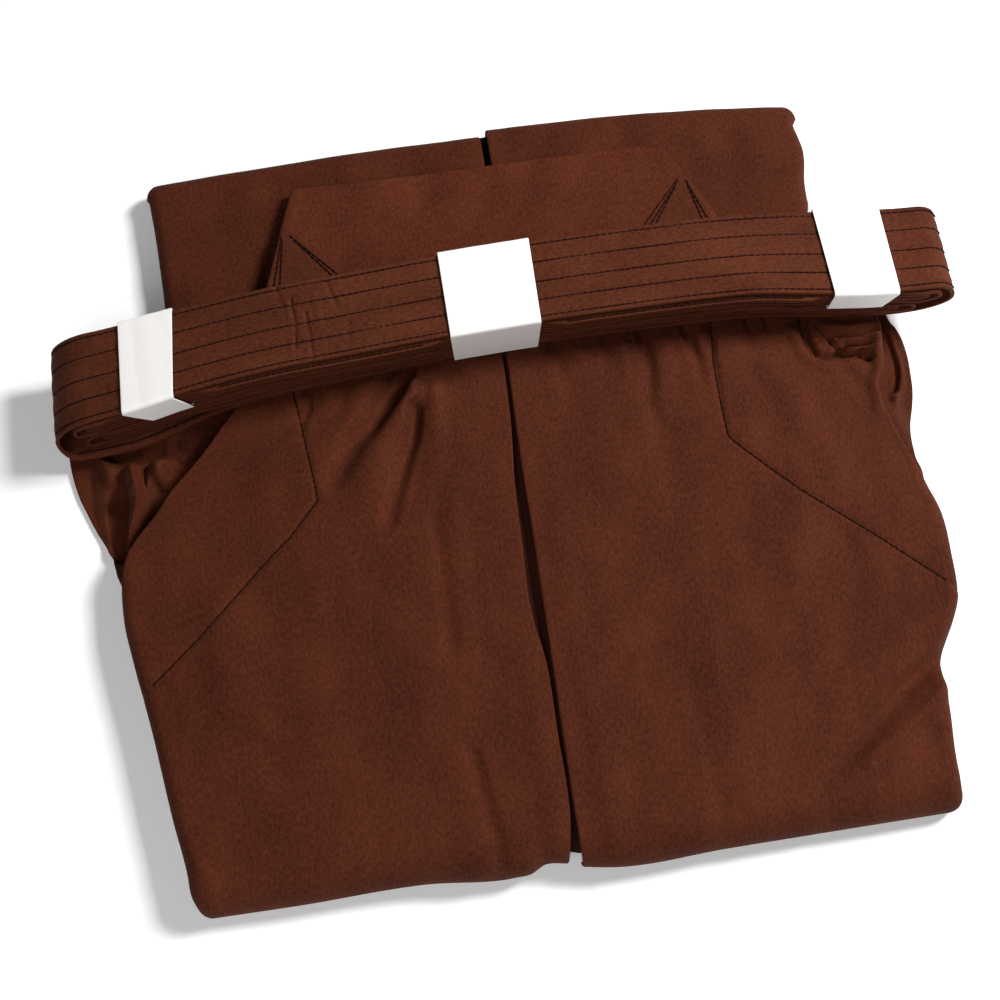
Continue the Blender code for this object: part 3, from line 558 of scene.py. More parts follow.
def line_distance(x, y, line):
    """Distance from each place to a line, and how far along it the nearest point lies."""
    points = np.asarray(line, float)
    start, along = points[:-1], np.diff(points, axis=0)
    size = np.linalg.norm(along, axis=1)
    place = grid(x, y)[..., None, :]
    t = np.clip(((place - start) * along).sum(-1) / size ** 2, 0, 1)
    gap = np.linalg.norm(place - start - t[..., None] * along, axis=-1)
    nearest = gap.argmin(axis=-1)[..., None]
    walked = lengths(points)[:-1] + t * size
    return tuple(np.take_along_axis(found, nearest, -1)[..., 0] for found in (gap, walked))


def creases(table, x, y):
    """Sum over the table of height * swell(distance to the crease / half width)."""
    total = 0.0
    for half0, half1, rise0, rise1, *line in table:
        gap, walked = line_distance(x, y, line)
        t = walked / lengths(np.array(line, float))[-1]
        total = total + mix(rise0, rise1, t) * swell(gap / mix(half0, half1, t))
    return total


# the deepest creases press the layers below down too
CREASE_SINK = (
    (9, 9, 8.8, 3.2, (-48, 62), (-49.5, 55), (-54, 47.5), (-60.5, 39.5), (-67.5, 31), (-74.5, 25),
     (-80, 17)),
    (6, 6, 3.4, 1.6, (-46.5, 36), (-47.2, 28), (-50, 19), (-54, 10), (-61, -7)),
    (6, 5, 1.6, 0.5, (63, 64), (62.5, 53), (63, 39)),
    (5, 5, 1.5, 0.5, (83, 64), (84.5, 52), (87, 38)),
    (8, 9, 3.2, 1.2, (180, -100), (160, -113), (138, -131), (118, -147)),
    (4.5, 4, 3, 2.4, (139.8, 60), (139.7, 46), (141.5, 41), (144.3, 38.2), (154, 38.4),
     (167, 34.8)),
)


def seam_groove(side, x, y):
    """The stitched groove, and tiny puckers across it."""
    gap, walked = line_distance(x, y, FACING_SEAMS[side])
    wave = np.sin(walked * 2 * np.pi / PUCKER_LENGTH + 2 * np.sin(walked / 17))
    pucker = PUCKER * wave * swell(gap / PUCKER_HALF)
    return -SEAM_DEPTH * swell(gap / SEAM_HALF) + pucker


print(len(CREASES), "creases on the back panels")

# %% [markdown]
# ## The back panels
# Each runs from under the belt over the pile, round the near fold and a little way under. Its
# side edge rolls over the layers below, and is cut on a slant at the side opening.

# %% Back panels
AIR = 0.5               # left under the belt
BACK_STEP, BACK_ACROSS = 1.3, 176
SHALLOWER = 0.6         # the inner face follows this share of the creases


def back_panel_height(side, x, y, turn):
    """Creases, seam and unrest, held down under the belt and fading round the near fold."""
    rise = creases(CREASES, x, y) + ripples(x, y, len(side), wavelength=46, height=0.22)
    rise = rise + seam_groove(side, x, y)
    room = belt("under_z", x) - AIR - stack_top(x, y) - 2 * LAYER
    under_belt = ease((y - belt("centre_y", x) + belt("width", x) / 2 + 3) / 3)
    rise = rise - under_belt * np.maximum(rise - room, 0)
    return rise * np.cos(np.clip(turn, 0, np.pi / 2)) ** 0.5


def back_panel(side, sign):
    ys, turn = panel_rows(BACK_STEP, 6)
    level = ys - NEAR_RADIUS * np.sin(turn)
    turned = curled(BACK_CURL_FROM, ys)
    outer_x = edge("back_" + side, level) - sign * RIM * (1 - turned)
    inner_x = split(side, level) + sign * RIM
    faces = []
    for depth in (0.0, WALL):
        x, deep = panel_across(inner_x, outer_x, turned, depth, sign, shares(BACK_ACROSS))
        share = 1 if depth == 0 else SHALLOWER * ease((np.abs(x - inner_x) - 1) / 4)
        limit = depth / 4 - WALL - 0.95 * creases(CREASE_SINK, x, ys)   # above the layer below
        deep = deep - share * np.maximum(back_panel_height(side, x, ys, turn), limit)
        faces.append(round_near_fold(x, ys, turn, deep))
    piece = cloth_wall(f"back_panel_{side}_twill", *faces, panel_twill)
    dress(piece, "leg_cloth", faces[0], "folded", f"front_panel_{side}_twill")


for side, sign in SIDES:
    back_panel(side, sign)

# %% [markdown]
# ## The front panels at the side openings
# Under each back panel lies the front one. It comes out past the slanted edge, falls to the floor
# and crumples, because it has more cloth than the drop needs.

# %% Front panels
FRONT_FALL, FRONT_STEEPNESS = 13.6, 0.45
FRONT_FALL_FROM_Y, FRONT_FALL_LENGTH = -34.0, 26.0
# laid out as the creases above
FRONT_CREASES = (
    (6.8, 5.4, 7.5, 5.5, (-178, 29), (-177.2, 23), (-176.6, 18)),
    (5.5, 4.5, 3, 1.6, (-166, 29), (-165.5, 25)),
    (8, 9, -9, -13, (-186, 39.5), (-172, 37.6), (-158, 38.5)),
    (5.4, 3.2, 5.5, 6, (-176.4, 17), (-176.8, 12), (-178, 6.6), (-179.6, 1), (-181.6, -6)),
    (5.4, 4.2, -12, -9, (-166.6, 18.5), (-167.6, 13), (-169.8, 7), (-173, 1.5)),
    (1.8, 1.4, -3.6, -1.4, (-171, 34), (-172.6, 26), (-172.2, 20)),
    (6.2, 5, -12, -10, (-186, 16.5), (-186.4, 10), (-186.6, 4), (-186.4, -4), (-186, -10)),
    (7.5, 6, 4, 3, (-189, 37), (-187.5, 27)),
    (11.5, 6, 3.8, 2.8, (-191.5, 40), (-191.5, 30), (-192.2, 20), (-192.4, 11), (-191.5, 4),
     (-189.5, -5)),
    (2, 2, 2, 1.2, (-160, 44), (-166, 33)),
    (3, 5.8, -3, -8.5, (178.2, 56), (178.6, 47), (179, 40), (178.8, 32.5), (177.2, 26.5), (175.4, 23)),
    (3.4, 4, 2.5, 5, (183, 62), (183.8, 47), (184.6, 36), (183.8, 28), (181, 20.5), (176.5, 15.5)),
    (1, 1, -1, -0.4, (183.6, 56), (185.4, 44), (186.2, 32), (185.6, 24)),
    (3.4, 3, 4.5, 1, (174.8, 52), (175.4, 38), (174.2, 29)),
    (8, 7, 3.4, 2.6, (175, 15), (175.6, 4), (177, -10)),
)
# where the layers below hang clear of a back panel's slanted edge, laid out as above
OPENING_SINK = (
    (16, 4.6, 26, 11, (-118, 70), (-130, 58), (-142, 46), (-150.5, 36), (-156, 25), (-161, 15.5),
     (-167, 7.5), (-173, 0.5), (-178.5, -6)),
)
LIE_AGAIN = 1.0     # a rise lower than this lies down flat again
FRONT_LAST_TURN = 1.6   # the panel ends hidden, a quarter turn round the near fold
FRONT_STEP, OVER_CORE, PAST_CORE = 2.0, 26, 60      # between rows, and points across
SPLIT_INSET = 0.6       # the front panels stay this far inside the split


def opening_sink(x, y):
    return creases(OPENING_SINK, x, y) + creases(CREASE_SINK, x, y)


def front_drape(side, sign, x, y):
    """The sink: fall * ease(t), t from 0 at the core to 1 at the hem, less the creases.

    It stops on the floor, and the creases count from at most LIE_AGAIN below that.
    """
    core, hem = edge("core_" + side, y), edge("front_" + side, y)
    width = np.abs(hem - core)
    t = sign * (x - core) / width
    fall = np.minimum(FRONT_FALL, FRONT_STEEPNESS * width)
    fall = fall * ease((y - FRONT_FALL_FROM_Y) / FRONT_FALL_LENGTH) * ease(t)
    lowest = stack_top(x, y)
    hung = np.minimum(fall + opening_sink(x, y), lowest + LIE_AGAIN)
    return np.minimum(hung - creases(FRONT_CREASES, x, y), lowest)


def front_panel(side, sign):
    ys, turn = panel_rows(FRONT_STEP, 9)
    shown = turn[:, 0] < FRONT_LAST_TURN
    ys, turn = ys[shown], turn[shown]
    level = ys - NEAR_RADIUS * np.sin(turn)
    outer_x, core_x = edge("front_" + side, level), edge("core_" + side, level)
    inner_x = split(side, level) + sign * (SPLIT_INSET + RIM)
    faces = []
    for depth in (LAYER, LAYER + WALL):
        x, deep = panel_across(inner_x, outer_x, curled(FRONT_CURL_FROM, ys), depth, sign, (0, 1))
        over_core = mix(inner_x, core_x, np.linspace(0, 0.96, OVER_CORE))
        past_core = mix(core_x, x[:, 1:2], shares(PAST_CORE))
        wide = np.concatenate([over_core, past_core, x[:, 2:]], axis=1)
        drop = np.concatenate([np.full((len(ys), OVER_CORE + PAST_CORE), depth), deep[:, 2:]], axis=1)
        faces.append(round_near_fold(wide, ys, turn, drop + front_drape(side, sign, wide, ys)))
    piece = cloth_wall(f"front_panel_{side}_twill", *faces, panel_twill)
    dress(piece, "leg_cloth", faces[0], "folded", "folded_layers_twill")


for side, sign in SIDES:
    front_panel(side, sign)

# %% [markdown]
# ## The lower legs
# Folded in three, the legs come back out beyond the waist and turn down at the far edge. They are
# two separate folds with a slit between, and the right one reaches 3 mm further.

# %% Lower legs
leg_edge = table(
    ("y", "left", "right"),
    (79, -157, 156),
    (110, -157, 157),
    (135, -158, 158),
    (152, -159, 161),
    (168, -160.5, 159),
    (182, -162, 162),
)
LEG_ENDS = {
    "left": ((-161, 178), (-115, 180.2), (-56, 182.2), (5, 182.8)),
    "right": ((6, 186.2), (84, 185.2), (130, 182.2), (161, 179.2)),
}
LEG_SPLIT = {"left": 3.7, "right": 7.0}
LEG_SPLIT_MIDDLE = 5.3
LEG_START, LEG_FLAT_END, LEG_END_ROW = 80.5, 168, 178.0
LEG_ROWS, LEG_ACROSS = 45, 80
LEG_CREASES = (
    (8, 14, 0.5, 0.2, (-158, 128), (-120, 150)),
    (5, 9, -0.8, -0.2, (160, 150), (136, 140)),
    (6, 10, 0.7, 0.2, (161, 162), (128, 158)),
    (12, 8, 0.5, 0.2, (150, 112), (146, 168)),
    (5, 6, 0.3, 0.4, (20, 176), (90, 170)),
    (6, 7, 0.3, 0.4, (-20, 172), (-110, 166)),
)


def legs_top(x):
    return LEGS_TOP - CROWN * (x / PACK_HALF_WIDTH) ** 2 / 2


def lower_leg(side, sign):
    """Flat rows, then y + r sin t and z - R + r cos t round the far fold, with r = R - depth."""
    flat = np.linspace(LEG_START, LEG_FLAT_END, LEG_ROWS)
    turns = np.radians(np.arange(0, LAST_TURN + 1, 7))
    row_y = np.concatenate([flat, np.full(len(turns), LEG_END_ROW)])
    turn = np.concatenate([np.zeros(len(flat)), turns])[:, None]
    side_x = leg_edge(side, row_y)[:, None]
    faces = []
    for depth in (0.0, WALL):
        x, deep = panel_across(LEG_SPLIT[side] + sign * RIM, side_x, np.ones_like(side_x), depth,
                               sign, shares(LEG_ACROSS))
        y = curve(LEG_ENDS[side], x) - FAR_RADIUS
        y[:len(flat)] = flat[:, None]
        rise = creases(LEG_CREASES, x, y) + ripples(x, y, 11 + len(side), 40, 0.2)
        deep = deep - (1 if depth == 0 else 0.7) * rise * np.clip(np.cos(turn), 0, 1)
        reach = FAR_RADIUS - deep
        z = legs_top(x) + LAYER - FAR_RADIUS + reach * np.cos(turn)
        faces.append(grid(x, y + reach * np.sin(turn), z))
    piece = cloth_wall(f"lower_leg_{side}_twill", *faces, panel_twill)
    dress(piece, "leg_cloth", faces[0], "folded", "folded_layers_twill")


for side, sign in SIDES:
    lower_leg(side, sign)

# %% [markdown]
# ## The folded layers inside
# Of the inside of the pile only folds show. One rounded body stands for all of them. Its sides
# bulge once for each pair of layers, and its ends are notched where the legs part.

# %% Folded layers
CORE_LAYERS, CORE_SHOULDER, CORE_FOOT, GROOVE, CORE_ACROSS = 7, 1.6, 1.2, 1.3, 160
NOTCH, NOTCH_HALF = 24.0, 5.5    # the layers stop this far short of both folds at a slit
NOTCH_STEEP = 1.7


def notch(x, y):
    """Depth times a trough with a flat bottom across each slit, growing towards its fold."""
    near = swell((x - SPLIT_MIDDLE) / NOTCH_HALF) * ease((-FADE_START - y) / FADE)
    far = swell((x - LEG_SPLIT_MIDDLE) / NOTCH_HALF) * ease((y - FADE_START) / FADE)
    return NOTCH * (np.clip(NOTCH_STEEP * near, 0, 1) - np.clip(NOTCH_STEEP * far, 0, 1))


def side_layers(x, sign, low, high):
    """Up one side: each layer bulges as x - groove * (1 - sqrt(sin(pi t))) over its share t."""
    t = shares(CORE_LAYERS * 8 + 1)[:-1]
    bulge = 1 - np.sqrt(np.abs(np.sin(np.pi * t * CORE_LAYERS)))
    groove = min(GROOVE, 0.12 * (high - low))
    return grid(x - sign * groove * bulge, mix(low, high, t))


def core_section(y, turn=0.0):
    """A loop round the core at one place along it: underside, right side, top, left side."""
    over_legs = y > WAIST_Y
    reach = FAR_RADIUS - LAYER if over_legs else NEAR_RADIUS - 2 * LAYER
    level = min(y, LEG_END_ROW) if over_legs else y - reach * np.sin(turn)
    if over_legs:
        left, right = leg_edge("left", level) + 2 * LAYER, leg_edge("right", level) - 2 * LAYER
    else:
        left, right = edge("core_left", level), edge("core_right", level)
    share = shares(CORE_ACROSS)
    top_x = left + CORE_SHOULDER + (right - left - 2 * CORE_SHOULDER) * share
    bottom_x = left + CORE_FOOT + (right - left - 2 * CORE_FOOT) * share[::4]
    top, bottom = (legs_top(x) if over_legs else stack_top(x, y) for x in (top_x, bottom_x))
    top_z = top - reach + reach * np.cos(turn)
    bottom_z = (bottom - reach) * (1 - np.cos(turn))
    top_z = top_z - np.minimum(opening_sink(top_x, float(y)), np.maximum(top_z - 0.3, 0))
    loop = np.concatenate([grid(bottom_x, bottom_z), side_layers(right, 1, bottom_z[-1], top_z[-1]),
                           grid(top_x, top_z)[::-1],
                           side_layers(left, -1, bottom_z[0], top_z[0])[::-1]])
    x = loop[:, 0]
    place = np.full(len(x), float(y))
    if y > LEG_END_ROW:
        ends = [curve(LEG_ENDS[side], x) for side, _ in SIDES]
        place = np.where(x < LEG_SPLIT_MIDDLE, *ends) - FAR_RADIUS + reach * np.sin(turn)
    elif not over_legs:
        place += near_shift(x, y) - reach * np.sin(turn)
    return grid(x, place + notch(x, y), loop[:, 1])


def folded_core():
    near = [core_section(NEAR_START, turn) for turn in np.radians(np.arange(86, 0, -8))]
    panels = [core_section(y) for y in np.arange(-145, 74, 5.0)]
    legs = [core_section(y) for y in np.arange(79.5, 160, 6.0)]
    far = [core_section(180, turn) for turn in np.radians(np.arange(0, 87, 8))]
    # the inside layers get the darker twill, which paints the shade in the folds
    piece = loft("folded_layers_twill", np.array(near + panels + legs + far), shade_darkened_inner_twill)
    stand_in(piece, "folded_cloth")
    print("folded layers:", len(piece.data.polygons), "faces")


folded_core()

# %% [markdown]
# ## The back plate
# The plate for the small of the back is thick paperboard covered in the same twill. Here it
# slopes down to the legs, and its left side stands up a little, so a dark gap shows under it.

# %% Back plate
PLATE_THICK = 3.0
PLATE_ROWS, PLATE_ACROSS = 50, 110
PLATE_LOW_Y = 76.4
plate_edge = table(
    ("y", "left", "right"),
    (PLATE_LOW_Y, -116, 118),
    (107, -107, 110),
    (117, -103.5, 108.5),
    (137, -96.8, 100.5),
    (161, -89, 89),
)
PLATE_TOP_LEFT_Y, PLATE_TOP_RIGHT_Y = 158.0, 161.0
PLATE_CORNER, PLATE_CORNER_SHARE = 2.5, 0.07
PLATE_WAIST_Z, PLATE_TOP_Z, PLATE_LEFT_LIFT = 24.2, 19.9, 3.2
COVER_SEAM, COVER_RISE = 2.6, 0.25    # the cover is turned in this far from the plate's edge


def plate_surface(x, y):
    """Slopes along y, falls away to both sides, and stands up at the left."""
    along = (y - WAIST_Y) / (PLATE_TOP_RIGHT_Y - WAIST_Y)
    fall = mix(PLATE_WAIST_Z, PLATE_TOP_Z, along)
    fall = fall - CROWN * (x / PACK_HALF_WIDTH) ** 2 * (1 - along / 2)
    return fall + PLATE_LEFT_LIFT * ease((-20 - x) / 80) * ease(along / 0.7)


def plate_relief(x, y, left, right, top):
    """The cover's slight rise inside its turned edges, and its unrest."""
    inside = np.minimum(np.minimum(x - left, right - x), top - y)
    return COVER_RISE * ease(inside / COVER_SEAM) - COVER_RISE + ripples(x, y, 23, 60, 0.12)


def back_plate():
    share, along = shares(PLATE_ACROSS), shares(PLATE_ROWS)[:, None]
    top = mix(PLATE_TOP_LEFT_Y, PLATE_TOP_RIGHT_Y, share)
    top = top - PLATE_CORNER * ease((share - 1 + PLATE_CORNER_SHARE) / PLATE_CORNER_SHARE)
    y = mix(PLATE_LOW_Y, top, along)
    left, right = (plate_edge(side, y) for side, _ in SIDES)
    x = mix(left, right, share)
    z = plate_surface(x, y)
    outer = grid(x, y, z + plate_relief(x, y, left, right, top))
    piece = cloth_wall("back_plate_twill", outer, grid(x, y, z - PLATE_THICK), plate_twill)
    dress(piece, "plate_cloth", outer, "laid", "folded_layers_twill")


back_plate()

# %% [markdown]
# ## The ends of the long straps
# Each long strap starts as a point, sewn flat on the plate with two rows of stitches. Only the
# point shows beyond the belt.

# %% Strap ends
STRAP_END_THICK, STRAP_TIP_SHARE = 1.6, 0.04
END_ROWS, END_ACROSS = 36, 30
STRAP_ENDS = {  # apex x and y, x of the outer and the inner corner, y of both
    "strap_end_left": (-96.6, 135.5, -111, -56, 93),
    "strap_end_right": (97.2, 141.5, 114.5, 57, 95),
}


def strap_end_point(row, share, along):
    """Apex + (corner - apex) * along, the corner going from the inner to the outer one."""
    apex_x, apex_y, outer_x, inner_x, base_y = row
    x = apex_x + ((outer_x - apex_x) * share + (inner_x - apex_x) * (1 - share)) * along
    return x, mix(apex_y, base_y, along)


def strap_end(name, row):
    x, y = strap_end_point(row, shares(END_ACROSS), np.linspace(STRAP_TIP_SHARE, 1, END_ROWS)[:, None])
    lift = plate_surface(x, y) + 0.1
    outer = grid(x, y, lift + STRAP_END_THICK)
    piece = cloth_wall(name + "_twill", outer, grid(x, y, lift), strap_twill)
    dress(piece, "strap_cloth", outer, "laid", "back_plate_twill")


for name, row in STRAP_ENDS.items():
    strap_end(name, row)

# %% [markdown]
# ## The long strap, wound flat
# The front strap is some four metres of twill folded over a stiff lining and quilted with five rows
# of stitches, each in a groove. Every turn of the flat bundle is a racetrack: two long straights,
# rounded at each end. The bundle sags at both ends.

# %% The strap
BELT_HEIGHT, STRAP_THICK = 28.0, 2.6
# places along x, with the share of a turn's aside that it keeps: none under the bands
LOOSE = ((-209.5, 0.5), (-186, 0.5), (-177, 0), (-142, 0), (-134, 1), (-36, 1), (-28, 0), (17, 0),
         (25, 1), (138, 1), (145, 0), (182, 0), (190, 0.5), (209.5, 0.5))
# places along x, with how far the lowest layer sticks out beyond the top one
FAN = ((-209.5, 5.4), (-200, 5.8), (-188, 6.8), (-172, 7.4), (-158, 6.2), (-140, 3), (-119, 0.8),
       (-95, 0), (-60, -0.6), (-26, -1.8), (20, -1.8), (90, -1), (150, -2), (209.5, -1))
STITCH_ROWS = (-18.2, -9.9, -0.8, 9.2, 18.2)
ROW_SPACING, STRAP_HALF, CHANNEL_RISE = 9.4, 20.5, 0.5
RIM_BULGE = 0.45                        # the strap's edges are pressed nearly flat
END_REACH = ((1.5, 0.7), (0.9, 2.3))    # top and low quarter of the left end, then of the right one
CREASED = (-108, -62)                   # the path has more points here
BELT_CREASES = (  # laid out as the other creases, with the place across the strap for y
    (1.6, 1.3, -0.9, -0.7, (-95, 12), (-94, 0), (-95, -12)),
    (1.5, 1.3, -0.9, -0.6, (-89, 4), (-88, -8), (-88, -19)),
    (1.6, 2.2, -0.8, -0.3, (-78, 17), (-74, 2)),
    (2.5, 2.5, -0.5, -0.2, (-101, 19), (-98, 4)),
    (2.4, 2.4, 0.4, 0.3, (-84, 12), (-83, -8)),
    (2.2, 2.2, -0.4, -0.2, (-70, -4), (-72, -18)),
    (3, 3, -0.3, -0.1, (40, 8), (43, -6)),
    (3, 3, -0.3, -0.1, (118, 4), (117, -14)),
)


def strap_channels(across):
    """Swelling between two rows: CHANNEL_RISE * sqrt(2 * distance to the nearest row / spacing)."""
    from_row = np.abs(across[..., None] - STITCH_ROWS).min(axis=-1)
    return CHANNEL_RISE * np.sqrt(np.clip(2 * from_row / ROW_SPACING, 0, 1))


def on_bundle(x, up, across, low=0.0, share=1.0):
    """Places of a strap: along the bundle, up from its underside, and across from -1 to 1.

    Low is 1 in the lowest layer, which sticks out at the left end, and 0 in the top one. The turns
    inside stick out by a share of that.
    """
    fan = curve(FAN, x)
    fan = np.where(fan > 0, share * fan, fan) * low ** 2.5
    y = belt("centre_y", x) + across * belt("width", x) / 2 - fan
    return grid(x, y, belt("under_z", x) + up)


def racetrack(left, right, radius, step):
    """x and height once round, clockwise from the top straight.

    Each end is two quarter ellipses, as long as END_REACH says, in radii.
    """
    (left_top, left_low), (right_top, right_low) = END_REACH
    turn = np.radians(np.linspace(0, 90, 16))
    ahead, up = np.sin(turn) * radius, np.cos(turn) * radius
    top = np.arange(left + left_top * radius, right - right_top * radius, step)
    top = np.union1d(top, np.arange(*CREASED, 0.35 * step)).clip(top[0], top[-1])
    low = np.arange(right - right_low * radius, left + left_low * radius, -step)
    x = [top, right + right_top * (ahead - radius), right + right_low * (ahead[::-1] - radius)[1:], low,
         left - left_low * (ahead - radius), left - left_top * (ahead[::-1] - radius)[1:]]
    z = [radius + 0 * top, up, -up[::-1][1:], 0 * low - radius, -up, up[::-1][1:]]
    path = grid(np.concatenate(x), np.concatenate(z))
    return path[np.linalg.norm(path - np.roll(path, 1, axis=0), axis=-1) > 0.02]


def strap_turn(left, right, low, high, thick, step, across_count, unrest, seed, aside=0.0, fan=1.0):
    """One turn of the strap: its path moved in by each depth along the path's own normal."""
    radius = (high - low) / 2
    path = racetrack(left, right, radius, step)
    ahead = np.roll(path, -1, axis=0) - np.roll(path, 1, axis=0)
    out = unit(grid(-ahead[:, 1], ahead[:, 0]))
    half = STRAP_HALF - thick * RIM_BULGE / 2
    across = np.linspace(-half, half, across_count)
    walked = lengths(path)[:, None]
    channels = strap_channels(across) - CHANNEL_RISE
    raised = channels + (ripples(walked, across, seed, 34, unrest) - unrest)
    if high == BELT_HEIGHT:
        raised = raised + creases(BELT_CREASES, path[:, :1], across) * (path[:, 1:] > 0.5 * radius)
    sway = 0.5 * np.sin(walked / 37 + seed) + 0.3 * np.sin(walked / 11)
    swing = aside * np.interp(path[:, :1], *np.transpose(LOOSE)) + unrest * sway
    faces = []
    for depth, rise in ((0.0, raised), (thick, -channels)):
        x, z = (path[:, k:k + 1] + out[:, k:k + 1] * (rise - depth) for k in range(2))
        up = low + radius + z
        share = (across + swing) / STRAP_HALF
        faces.append(on_bundle(x, up, share, np.clip(1 - up / BELT_HEIGHT, 0, 1), fan))
    return faces


def join_pieces(name, pieces):
    """Puts the meshes of several pieces into one object."""
    with bpy.context.temp_override(active_object=pieces[0], selected_editable_objects=pieces):
        bpy.ops.object.join()
    pieces[0].name = name
    return pieces[0]


# the turn's underside and top, thickness, how far inside the left and right end it stays, aside
INNER_TURNS = {
    "belt_turns_lower": ((2.9, 12.9, 2.35, 13, 17, -0.8), (5.4, 10.4, 2.2, 21, 25, 0.2)),
    "belt_turns_upper": ((14.6, 25.1, 2.45, 9.5, 7.5, -2.2), (17.2, 22.5, 2.35, 16, 13, -1.4)),
}


def outer_turn():
    faces = strap_turn(BELT_LEFT, BELT_RIGHT, 0, BELT_HEIGHT, STRAP_THICK, step=2.0, across_count=78,
                       unrest=0.12, seed=5)
    piece = cloth_wall("belt_outer_turn_twill", *faces, strap_twill, wrap=True, bulge=RIM_BULGE)
    dress(piece, "strap_cloth", faces[0], "folded", "back_plate_twill", "back_panel_left_twill",
          "back_panel_right_twill", nodes=("belt_top", "belt_bottom"))


def inner_turns(name, seed):
    pieces, grids = [], []
    for i, (low, high, thick, left, right, aside) in enumerate(INNER_TURNS[name]):
        faces = strap_turn(BELT_LEFT + left, BELT_RIGHT - right, low, high, thick, step=5.5,
                           across_count=32, unrest=0.1, seed=seed + i, aside=aside, fan=0.25)
        pieces.append(cloth_wall(f"turn_{i}", *faces, strap_twill, wrap=True, bulge=RIM_BULGE))
        grids.append(faces[0])
    piece = join_pieces(name + "_twill", pieces)
    dress(piece, "strap_cloth", np.concatenate(grids), "folded", "belt_outer_turn_twill")


outer_turn()
for name, seed in zip(INNER_TURNS, (31, 33)):
    inner_turns(name, seed)

# %% [markdown]
# ## The paper bands
# Three strips of white paper hold the bundle. The middle one goes round all the turns, and the
# outer ones go round the upper turns only and slip between the layers.

# %% Bands
PAPER, BAND_CLEAR, SHARP = 0.45, 0.5, 0.6
BAND_ACROSS, BAND_SPANS = 26, (20, 12, 20, 12)      # points across, and along each straight
# x of both sides on top at the far side, on top at the near side, and below at the near side, then
# the radius of the near bend, the air inside it, and the height at which the band slips in
BANDS = (
    ("paper_band_left", (-174, -149), (-175, -151.5), (-163.5, -144.5), 2, 0.6, 14.4),
    ("paper_band_middle", (-26.5, 15), (-26, 14.6), (-24.6, 14), 1.6, 0.6, 0),
    ("paper_band_right", (147.5, 179), (149, 179.5), (148, 174), 2, 0.7, 14.4),
)


def band_loop(far, near, below, bend, air, low, depth):
    """A rectangle with quarter circles for corners, moved in by depth."""
    corners = []
    for side, top, span, radius, start in ((1, 1, far, SHARP, 0), (-1, 1, near, bend, 90),
                                           (-1, -1, below, SHARP, 180), (1, -1, far, SHARP, 270)):
        up = BELT_HEIGHT if top > 0 else low
        fanned = 0 if side > 0 else 1 - up / BELT_HEIGHT
        place = on_bundle(mix(*span, shares(BAND_ACROSS)), up, side, fanned)
        clear = air if side < 0 and top > 0 else BAND_CLEAR
        place = place - np.array((0, side * (radius - clear), top * (radius - BAND_CLEAR)))
        turn = np.radians(np.linspace(start, start + 90, 11))
        out = grid(0, np.cos(turn), np.sin(turn))
        corners.append(place[None] + out[:, None] * (radius + PAPER - depth))
    spans = []
    for arc, following, count in zip(corners, corners[1:] + corners[:1], BAND_SPANS):
        spans += [arc, mix(arc[-1], following[0], shares(count)[1:-1, None, None])]
    return np.concatenate(spans)


def paper_band(row, seed):
    """Two loops PAPER apart, moved along their own direction by a slight waviness."""
    name, *sizes = row
    outer, inner = (band_loop(*sizes, depth) for depth in (0.0, PAPER))
    wave = np.abs(ripples(outer[..., 0], 0.25 * lengths(outer), seed, 26, 0.1))[..., None]
    wave = wave * unit(outer - inner)
    piece = cloth_wall(name + "_sheet", outer + wave, inner + wave, paper, wrap=True)
    stand_in(piece, "band_paper")
    print(name, len(piece.data.polygons), "faces")


PAPER_TAIL = (  # x of both sides, y and z
    (148, 178.5, 99.2, 33),
    (148, 176, 101.8, 37.5),
    (148.5, 170, 106, 41.5),
    (149, 163.5, 111.5, 44),
)


def paper_tail():
    """The right band's loose end, standing up behind the bundle."""
    left, right, y, z = (through(np.linspace(0, 3, 40), np.arange(4), values)[:, None]
                         for values in np.transpose(PAPER_TAIL))
    outer = grid(mix(left, right, shares(24)), y, z)
    slope = np.gradient(outer, axis=0)
    back = unit(grid(0, slope[..., 2], -slope[..., 1]))
    piece = cloth_wall("paper_tail_sheet", outer, outer + back * PAPER, paper)
    stand_in(piece, "band_paper")


for i, row in enumerate(BANDS):
    paper_band(row, 41 + i)
paper_tail()

# %% [markdown]
# ## Stitches
# A sewing machine leaves a row of dashes with their ends pulled down into the cloth. Each one is a
# small lens of thread laid along its row.

# %% Stitches
PLATE_INSETS = (0.09, 0.155)    # as shares of a strap's end
STITCH_PITCH, STITCH_LENGTH, THREAD_RADIUS, PULLED_DOWN = 3.0, 3.7, 0.45, 0.35
PATH_STEP = 1.5                 # between the points of a row along the bundle
LOWEST_LAYER = 0.92             # how low its row lies, as a share
SECOND_UP, SECOND_ACROSS = 24.9, -21.4


def resample(row, values, start, step):
    """The values belonging to a row of points, every step along it."""
    walked = lengths(row)
    at = np.arange(start, walked[-1], step)
    return grid(*(np.interp(at, walked, value) for value in values.T))


